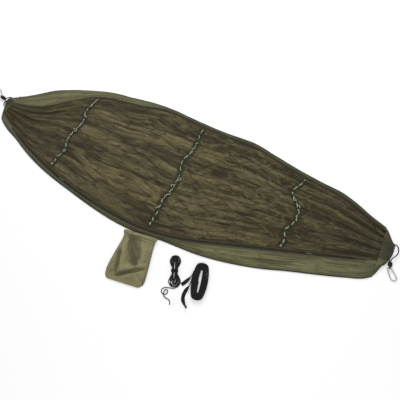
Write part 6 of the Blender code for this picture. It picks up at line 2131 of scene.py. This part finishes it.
@dataclass
class Sack:
    """The stuff sack: a sagging shell with an open mouth, its casing and drawcord, side binding and tab."""

    length: float = 0.288
    cloth: float = 0.0010
    mouth_x: float = -0.006
    mouth_space: float = 0.0087
    lean: float = 8.383
    mouth_half: float = 0.098
    mouth_rise: float = 0.0085
    belly_rise: float = 0.0150
    fold_rise: float = 0.0072
    under_rise: float = 0.0012
    casing_width: float = 0.020
    casing_cloth: float = 0.0011
    channel: float = 0.0035
    casing_start: float = 0.006
    drawcord: float = 0.0020
    binding: tuple[float, float] = (0.0030, 0.0060)
    tab_width: float = 0.030
    tab_x: float = 0.060
    tab_cloth: float = 0.0015
    hem_height: float = 0.005
    sides: int = 128
    width_shares: Table = ((0.0, 1.0), (0.12, 0.93), (0.30, 0.97), (0.55, 1.06), (0.80, 1.13), (0.91, 1.11),
                           (0.97, 1.03), (1.0, 0.90))

    def build(self) -> None:
        """Makes every piece of the sack."""
        self.widths = Profile(self.width_shares)
        lean = math.radians(self.lean)
        self.along = np.array((math.sin(lean), -math.cos(lean)))
        self.mouth = np.array((self.mouth_x, float(PLAN.near(self.mouth_x)) - self.mouth_space))
        self.across = np.array((-self.along[1], self.along[0]))
        self.folds = self.sack_folds()
        self.shell()
        self.casing()
        self.side_binding()
        self.tab()

    def sack_folds(self) -> CreaseField:
        """Returns the sack's folds, in shares across and along it."""
        made = CreaseField([Crease(*row) for row in SACK_FOLDS])
        made.scatter(51, 34, (-0.85, 0.12, 0.85, 0.95), (-75.0, 75.0), (0.1, 0.35), (-0.3, 0.3),
                     (0.015, 0.035))
        return made.scatter(52, 26, (-0.9, 0.12, 0.9, 0.24), (60.0, 120.0), (0.05, 0.12), (0.15, 0.4),
                            (0.012, 0.03))

    def angles(self, sides: int) -> np.ndarray:
        """Returns the angles of the points round the sack."""
        return 2 * math.pi * np.arange(sides) / sides

    def reach_across(self, angle: np.ndarray) -> np.ndarray:
        """Returns how far across the sack each angle lies, from -1 to 1."""
        c = np.cos(angle)
        return np.sign(c) * np.abs(c) ** 0.8

    def ring(self, share: float, stand: float = 0.0, sides: int | None = None,
             folded: bool = True) -> np.ndarray:
        """Returns one cross section, as part.py lays it.

        Args:
            share: 0 at the mouth and 1 at the base.
            stand: How far it stands off the cloth.
            sides: How many points it has, or nothing for the shell's own.
            folded: Whether the folds are on it.

        Returns:
            The section's points.
        """
        closing = 1 - 0.78 * ease((share - 0.72) / 0.28)
        half = self.mouth_half * float(self.widths(share)) + stand
        belly = self.mouth_rise + (self.belly_rise - self.mouth_rise) * ease(share * 2.2)
        under = TOUCH + (2 * self.casing_cloth + self.channel) * (1 - ease(share * 5 - 0.25))
        centre = self.mouth + self.along * self.length * share
        angle = self.angles(sides or self.sides)
        across, s = self.reach_across(angle), np.sin(angle)
        z = under + belly * closing + (belly * closing + stand) * s
        if folded:
            lift = np.clip(self.folds.height(across, np.full_like(across, share)), -0.9, 1.15) - 0.15
            fade = float(ease((share - 0.10) / 0.08) * ease((0.985 - share) / 0.05))
            z = z + self.fold_rise * lift * np.clip(s, 0, 1) ** 0.5 * fade
            wave = 1 + np.sin(9 * across + 14 * share)
            z = z + self.under_rise * wave * np.clip(-s, 0, 1) ** 0.5 * fade * 0.5
        x, y = (centre[axis] + self.across[axis] * half * across for axis in (0, 1))
        return np.stack((x, y, np.maximum(z, 0.0002)), axis=1)

    def shell(self) -> None:
        """Makes the shell, its wall turned in at the mouth and its base seam closed."""
        shares = np.concatenate((np.linspace(0, 0.02, 3), np.linspace(0.035, 0.97, 88), (0.985, 0.994, 1.0)))
        outer = [self.ring(float(share)) for share in shares]
        inner = [self.inside_ring(float(share)) for share in reversed(shares[shares < 0.96])]
        rings = np.array([*reversed(outer), *reversed(inner)])
        count, last = self.sides, len(rings) - 1
        faces = grid_faces(len(rings), count, wrap_columns=True)
        for number, end in enumerate((0, last)):
            hub = rings[:, :, 0].size + number
            faces += [(end * count + j, end * count + (j + 1) % count, hub) for j in range(count)]
        hubs = np.array([rings[end].mean(axis=0) for end in (0, last)])
        points = np.concatenate((rings.reshape(-1, 3), hubs))
        made = closed_piece("sack_cloth_shell", points, faces, points[:, :2])
        relief = [self.shell_relief(share) for share in reversed(shares)]
        # The inner wall is painted dark, as shade inside the sack, and so is the hub that closes it at the
        # mouth.
        relief += [np.full(count, 0.05)] * len(inner)
        set_relief(made, np.concatenate((np.array(relief).ravel(), (0.2, 0.05))))
        finish_piece(made, Finish.SACK, ["sack_shell"])

    def shell_relief(self, share: float) -> np.ndarray:
        """Returns the relief round the shell at a share: painted shade and highlight of its folds, a dark
        line of stitching, painted shadow along the mouth's rim, and painted shade on its outer side.
        """
        angle = self.angles(self.sides)
        across = self.reach_across(angle)
        height = self.folds.height(across, np.full_like(across, share))
        # A line of stitching is darkened below the casing, the mouth's rim gets a painted shadow, and the
        # outer side is darkened with painted shade.
        stitch_and_mouth_shade = 0.35 * math.exp(-(((share - 0.135) / 0.006) ** 2)) + 0.3 * (share < 0.012)
        return 0.38 + 0.72 * height - stitch_and_mouth_shade - 0.2 * np.clip(np.cos(angle) - 0.86, 0, 0.14) / 0.14

    def inside_ring(self, share: float) -> np.ndarray:
        """Returns the wall's inner side at a share."""
        outer = self.ring(share)
        out = outer - self.ring(share, folded=False).mean(axis=0)
        unit = out / np.array((self.mouth_half, self.mouth_half, self.mouth_rise))
        unit /= np.linalg.norm(unit, axis=1)[:, None]
        return outer - unit * self.cloth

    def casing(self) -> None:
        """Makes the mouth's stitched casing and the drawcord in it."""
        clear, thick, channel = TOUCH * 1.6, self.casing_cloth, self.channel
        start, end = self.casing_start, self.casing_start + self.casing_width / self.length
        wall = (end - start) * 0.12
        spots = [(start, clear), (start + wall, clear), (start + wall, clear + channel * 0.8),
                 (end - wall, clear + channel * 0.8), (end - wall, clear), (end, clear),
                 (end, clear + channel * 0.5 + thick), (end - wall, clear + channel * 0.85 + thick),
                 ((start + end) / 2, clear + channel + thick),
                 (start + wall, clear + channel * 0.85 + thick), (start, clear + channel * 0.5 + thick)]
        tracks = np.array([self.ring(share, stand, folded=False) for share, stand in spots])
        angle = self.angles(self.sides)
        pucker = 0.0003 * np.sin(19 * angle) + 0.0002 * np.sin(31 * angle + 1.0)
        tracks[6:, :, 2] += np.where(np.sin(angle) > 0, pucker, 0)
        points = tracks.transpose(1, 0, 2).reshape(-1, 3)
        faces = grid_faces(self.sides, len(spots), wrap_rows=True, wrap_columns=True)
        made = closed_piece("sack_casing", points, faces, points[:, :2])
        # The casing's underside and channel are painted dark as shade, and its crown is painted lighter than
        # its flanks as a highlight.
        set_relief(made, np.tile((*(0.1,) * 6, 0.3, 0.45, 0.55, 0.45, 0.3), self.sides))
        finish_piece(made, Finish.SACK, ["sack_mouth_casing"])
        line = self.ring((start + end) / 2, clear + channel * 0.4, folded=False)
        cord = sweep("sack_draw_line", line, round_section(self.drawcord, 8), cyclic=True)
        finish_piece(cord, Finish.DRAWCORD, ["sack_drawcord"])

    def side_binding(self) -> None:
        """Makes the bound seam down the sack's outer side."""
        wide, high = self.binding
        points = []
        for share in np.linspace(0.10, 0.94, 40):
            ring = self.ring(float(share), sides=16, folded=False)
            out = ring[0] - ring[8]
            out[2] = 0
            out /= np.linalg.norm(out)
            edge = ring[0] + out * (2 * TOUCH + wide / 2)
            edge[2] = max(edge[2] - high / 2, TOUCH) + high / 2
            points.append(edge)
        made = sweep("sack_binding", points, oval_section(wide, high, 12), upright=True)
        set_relief(made, np.full(len(made.data.vertices), 0.12))
        finish_piece(made, Finish.SACK, ["sack_seam_binding"])

    def tab(self) -> None:
        """Makes the doubled tab between the sack's mouth and the near hem."""
        low = self.hem_height + TOUCH
        x = np.linspace(self.tab_x - self.tab_width / 2, self.tab_x + self.tab_width / 2, 13)
        rim = self.mouth[1] + self.across[1] * (x - self.mouth[0]) / self.across[0]
        start, end = rim + TOUCH, PLAN.near(x) - 2 * TOUCH
        rows = []
        for share in np.linspace(0, 1, 7):
            z = low + self.tab_cloth * (0.85 + 0.15 * math.sin(math.pi * share))
            z = z + 0.0002 * np.sin(x * 900 + share)
            rows.append(np.stack((x, start + (end - start) * share, z), axis=1))
        top = np.stack(rows, axis=1)
        made = slab("sack_tab", top, low, np.full(top.shape[:2], 0.35))
        finish_piece(made, Finish.SACK, ["sack_join_tab"])


@dataclass
class GuyCord:
    """The hank of thin cord, wound in a long loop, wrapped at its waist, with its loose tail."""

    diameter: float = 0.004
    swell: float = 1.25
    x: float = 0.260
    space: float = 0.1347
    turn: float = -66.0
    half_length: float = 0.080
    waist_half: float = 0.0026
    waist_run: float = 0.066
    upper_lobe: float = 0.0255
    lower_lobe: float = 0.0285
    step: float = 0.0051
    layers: int = 4
    layer_rise: float = 0.0052
    layer_shares: tuple[float, ...] = (1.0, 0.40, 0.68, 0.0)
    layer_shifts: tuple[float, ...] = (0.0, 0.001, 0.0, 0.0)
    layer_runs: tuple[float, ...] = (1.0, 0.83, 0.92, 0.74)
    turns_a_layer: int = 2
    points_a_turn: int = 24
    start: float = 0.02
    wrap_width: float = 0.016
    wrap_cloth: float = 0.0022
    wrap_points: int = 40
    wrap_square: float = 1.35

    def __post_init__(self) -> None:
        """Works out how thick the cord is drawn, the hank's middle and its place."""
        self.drawn = self.diameter * self.swell
        self.centre = Vector((self.x, float(PLAN.near(self.x)) - self.space, 0))
        self.rotation = Matrix.Rotation(math.radians(self.turn), 4, "Z")

    def levels(self, turn: float) -> tuple[float, float]:
        """Returns how high a turn lies and which layer's shape it has, both counted in layers."""
        near = round(turn / self.turns_a_layer)
        past = turn - near * self.turns_a_layer
        if 0 < near < self.layers and abs(past) < 0.25:
            return near - 1 + float(ease((past + 0.05) / 0.27)), near - 1 + float(ease((past + 0.22) / 0.18))
        layer = float(min(int(turn / self.turns_a_layer), self.layers - 1))
        return layer, layer

    def point(self, turn: float) -> Vector:
        """Returns a point of the wound cord, turn counting loops from the first."""
        layer = min(int(turn / self.turns_a_layer), self.layers - 1)
        within = turn - layer * self.turns_a_layer
        out = (within if layer % 2 else self.turns_a_layer - within) * self.step
        rise, shape = self.levels(turn)
        share, shift, run = (float(np.interp(shape, range(self.layers), row))
                             for row in (self.layer_shares, self.layer_shifts, self.layer_runs))
        c, s = math.cos(2 * math.pi * turn), math.sin(2 * math.pi * turn)
        x = (self.half_length * run + out) * math.copysign(abs(c) ** 0.92, c)
        lobe = (self.lower_lobe if x > 0 else self.upper_lobe) * share
        spread = float(ease(abs(x) / self.waist_run))
        half = self.waist_half + (lobe - self.waist_half) * spread
        y = (half + out) * math.copysign(min(1.0, abs(s) * 1.15) ** 0.75, s) + shift * spread
        lift = (self.wrap_cloth + 3 * TOUCH) * (1 - spread)
        z = self.drawn / 2 + TOUCH + rise * self.layer_rise + lift
        return self.rotation @ Vector((x, y, z)) + self.centre

    def build(self) -> None:
        """Makes the cord and its wrap."""
        turns = self.layers * self.turns_a_layer
        count = int((turns - self.start - 0.1) * self.points_a_turn)
        wound = [self.point(self.start + i / self.points_a_turn) for i in range(count + 1)]
        leave = (wound[0] - wound[1]).normalized()
        begin = wound[0] + leave * TOUCH
        raised = self.centre + Vector((0, 0, (self.drawn - self.diameter) / 2))
        route = [begin, begin + leave * self.diameter * 2, *(raised + Vector(p) for p in HANK_TAIL)]
        tail = smooth_route(route, self.diameter)
        line = smooth_route([*reversed(tail[1:]), *wound], self.diameter * 0.8)
        cord = sweep("hank_cord", line, round_section(self.drawn, 10))
        finish_piece(cord, Finish.THIN_CORD, ["guy_cord_hank", "guy_cord_tail"])
        wrap = self.wrap(wound)
        LOG.info("hank cord: %.3f m", route_length(line))

    def wrap(self, wound: list[Vector]) -> Piece:
        """Makes the wraps of cord round the hank's waist."""
        place = Matrix.Translation(self.centre) @ self.rotation
        near = [place.inverted() @ p for p in wound]
        fine = [a.lerp(b, t / 8) for a, b in zip(near, near[1:]) for t in range(8)]
        waist = [p for p in fine if abs(p.x) < self.wrap_width / 2 + self.drawn / 2]
        half = max(abs(p.y) for p in waist)
        low, high = min(p.z for p in waist), max(p.z for p in waist)
        thick, square = self.wrap_cloth, self.wrap_square
        reach = self.drawn / 2 + TOUCH + thick / 2
        turns = int(self.wrap_width / (thick + TOUCH))
        points = []
        for i in range(turns * self.wrap_points + 1):
            share = i / self.wrap_points
            angle = 2 * math.pi * (share % 1)
            c, s = math.cos(angle), math.sin(angle)
            x = (share / turns - 0.5) * (self.wrap_width - thick)
            y = half * max(-1, min(1, c * square)) + reach * c
            z = (low + high) / 2 + (high - low) / 2 * max(-1, min(1, s * square)) + reach * s
            points.append(place @ Vector((x, y, z)))
        made = sweep("hank_wraps", points, round_section(thick, 8))
        return finish_piece(made, Finish.THIN_CORD, ["hank_waist_wrap"])


@dataclass
class SpareStrap:
    """The webbing wound in a long oval on its edge, with its two loose ends."""

    width: float = 0.020
    thickness: float = 0.0020
    swell: float = 1.65
    soft_edge: float = 0.0004
    x: float = 0.4075
    space: float = 0.1454
    turn: float = -76.0
    half_length: float = 0.102
    half_width: float = 0.0455
    straightness: float = 1.35
    step: float = 0.0038
    turns: int = 10
    points_a_turn: int = 24
    spacing: float = 0.0045

    def coil(self, place: Matrix) -> list[Vector]:
        """Returns the coil's plan line, from its inner turn to its outer one."""
        run = self.half_length - self.half_width
        line = []
        for i in range(self.turns * self.points_a_turn + 1):
            turns = i / self.points_a_turn
            width = self.half_width - (self.step * (self.turns - turns) + self.thickness / 2)
            angle = 2 * math.pi * turns - math.pi / 2
            c, s = math.cos(angle), math.sin(angle)
            push = run * math.copysign(min(1.0, abs(c) * self.straightness), c)
            line.append(place @ Vector((push + width * c, width * s, 0)))
        return line

    def build(self) -> None:
        """Makes the coil with both ends as one strap."""
        centre = Vector((self.x, float(PLAN.near(self.x)) - self.space, 0))
        coil = self.coil(Matrix.Translation(centre) @ Matrix.Rotation(math.radians(self.turn), 4, "Z"))
        long_spots, short_spots = ([centre + Vector((*p, 0)) for p in spots]
                                   for spots in (STRAP_TAIL_LONG, STRAP_TAIL_SHORT))
        begin = coil[-1] + (coil[-1] - coil[-2]).normalized() * TOUCH
        long_tail = smooth_route([begin, *long_spots], self.width / 2)
        beside = offset_line(as_rows(coil), -self.thickness - TOUCH)
        first, second = Vector(beside[-3]), Vector(beside[-2])
        short_tail = [first.lerp(second, 0.4), *smooth_route([second, *short_spots], self.width / 2)]
        coiled = route_length(coil)
        length = coiled + route_length(long_tail)
        lay = [(0.0, 0.0)]
        lay += [(coiled / length + at * (1 - coiled / length), turned) for at, turned in STRAP_LAY_LONG]
        main = self.edge_band("strap_run", [*coil, *long_tail[1:]], lay)
        other = self.edge_band("strap_end", short_tail, STRAP_LAY_SHORT)
        length += route_length(short_tail)
        made = merge("spare_strap", [main, other])
        finish_piece(made, Finish.STRAP, ["strap_coil", "strap_tail_long", "strap_tail_short"])
        LOG.info("spare strap: %.3f m", length)

    def edge_band(self, name: str, line: Sequence[Vector], lay: Table) -> Piece:
        """Makes webbing on its edge along a line, turned down towards lying flat where lay says so.

        Args:
            name: The band's name.
            line: Its plan line.
            lay: Rows of (share of its length, how far it is turned down from 0 to 1).

        Returns:
            The band.
        """
        points = as_rows(smooth_route(line, self.spacing))
        flat = np.gradient(points[:, :2], axis=0)
        flat /= np.linalg.norm(flat, axis=1)[:, None]
        side = np.stack((-flat[:, 1], flat[:, 0], np.zeros(len(points))), axis=1)
        up = np.array((0.0, 0.0, 1.0))
        shares = np.linspace(0, 1, len(points))
        angle = math.pi / 2 * (1 - np.clip(Profile(lay)(shares), 0, 1))[:, None]
        across = side * np.cos(angle) + up * np.sin(angle)
        stand = up * np.cos(angle) - side * np.sin(angle)
        half, thick, soft = self.width / 2, self.thickness * self.swell / 2, self.soft_edge
        middle = points * (1, 1, 0) + up * (TOUCH + half * np.sin(angle) + thick * np.cos(angle))
        section = [(-half + soft, -thick), (0, -thick), (half - soft, -thick), (half, -thick + soft),
                   (half, thick - soft), (half - soft, thick), (0, thick), (-half + soft, thick),
                   (-half, thick - soft), (-half, -thick + soft)]
        rings = np.stack([middle + across * a + stand * b for a, b in section], axis=1)
        size = (len(points), len(section))
        faces = [*grid_faces(*size, wrap_columns=True), *end_caps(*size)]
        reach = shares * route_length([Vector(p) for p in points])
        lays = np.stack(np.broadcast_arrays(reach[:, None], np.array([a for a, _ in section])[None]), axis=2)
        return closed_piece(name, rings.reshape(-1, 3), faces, lays.reshape(-1, 2))


def main() -> None:
    """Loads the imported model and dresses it, sub-assembly by sub-assembly."""
    logging.basicConfig(level=logging.INFO, format="%(name)s: %(message)s")
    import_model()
    deselect_all()
    Studio().build()
    ends = [EndFitting(side) for side in Side]
    for part in (*ends, GuyCord(), SpareStrap(), BedAndNet(), Trims(), Zip(), CrossLines(), Sack()):
        part.build()
        LOG.info("%s is done", type(part).__name__)
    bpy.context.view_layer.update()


if __name__ == "__main__":
    main()
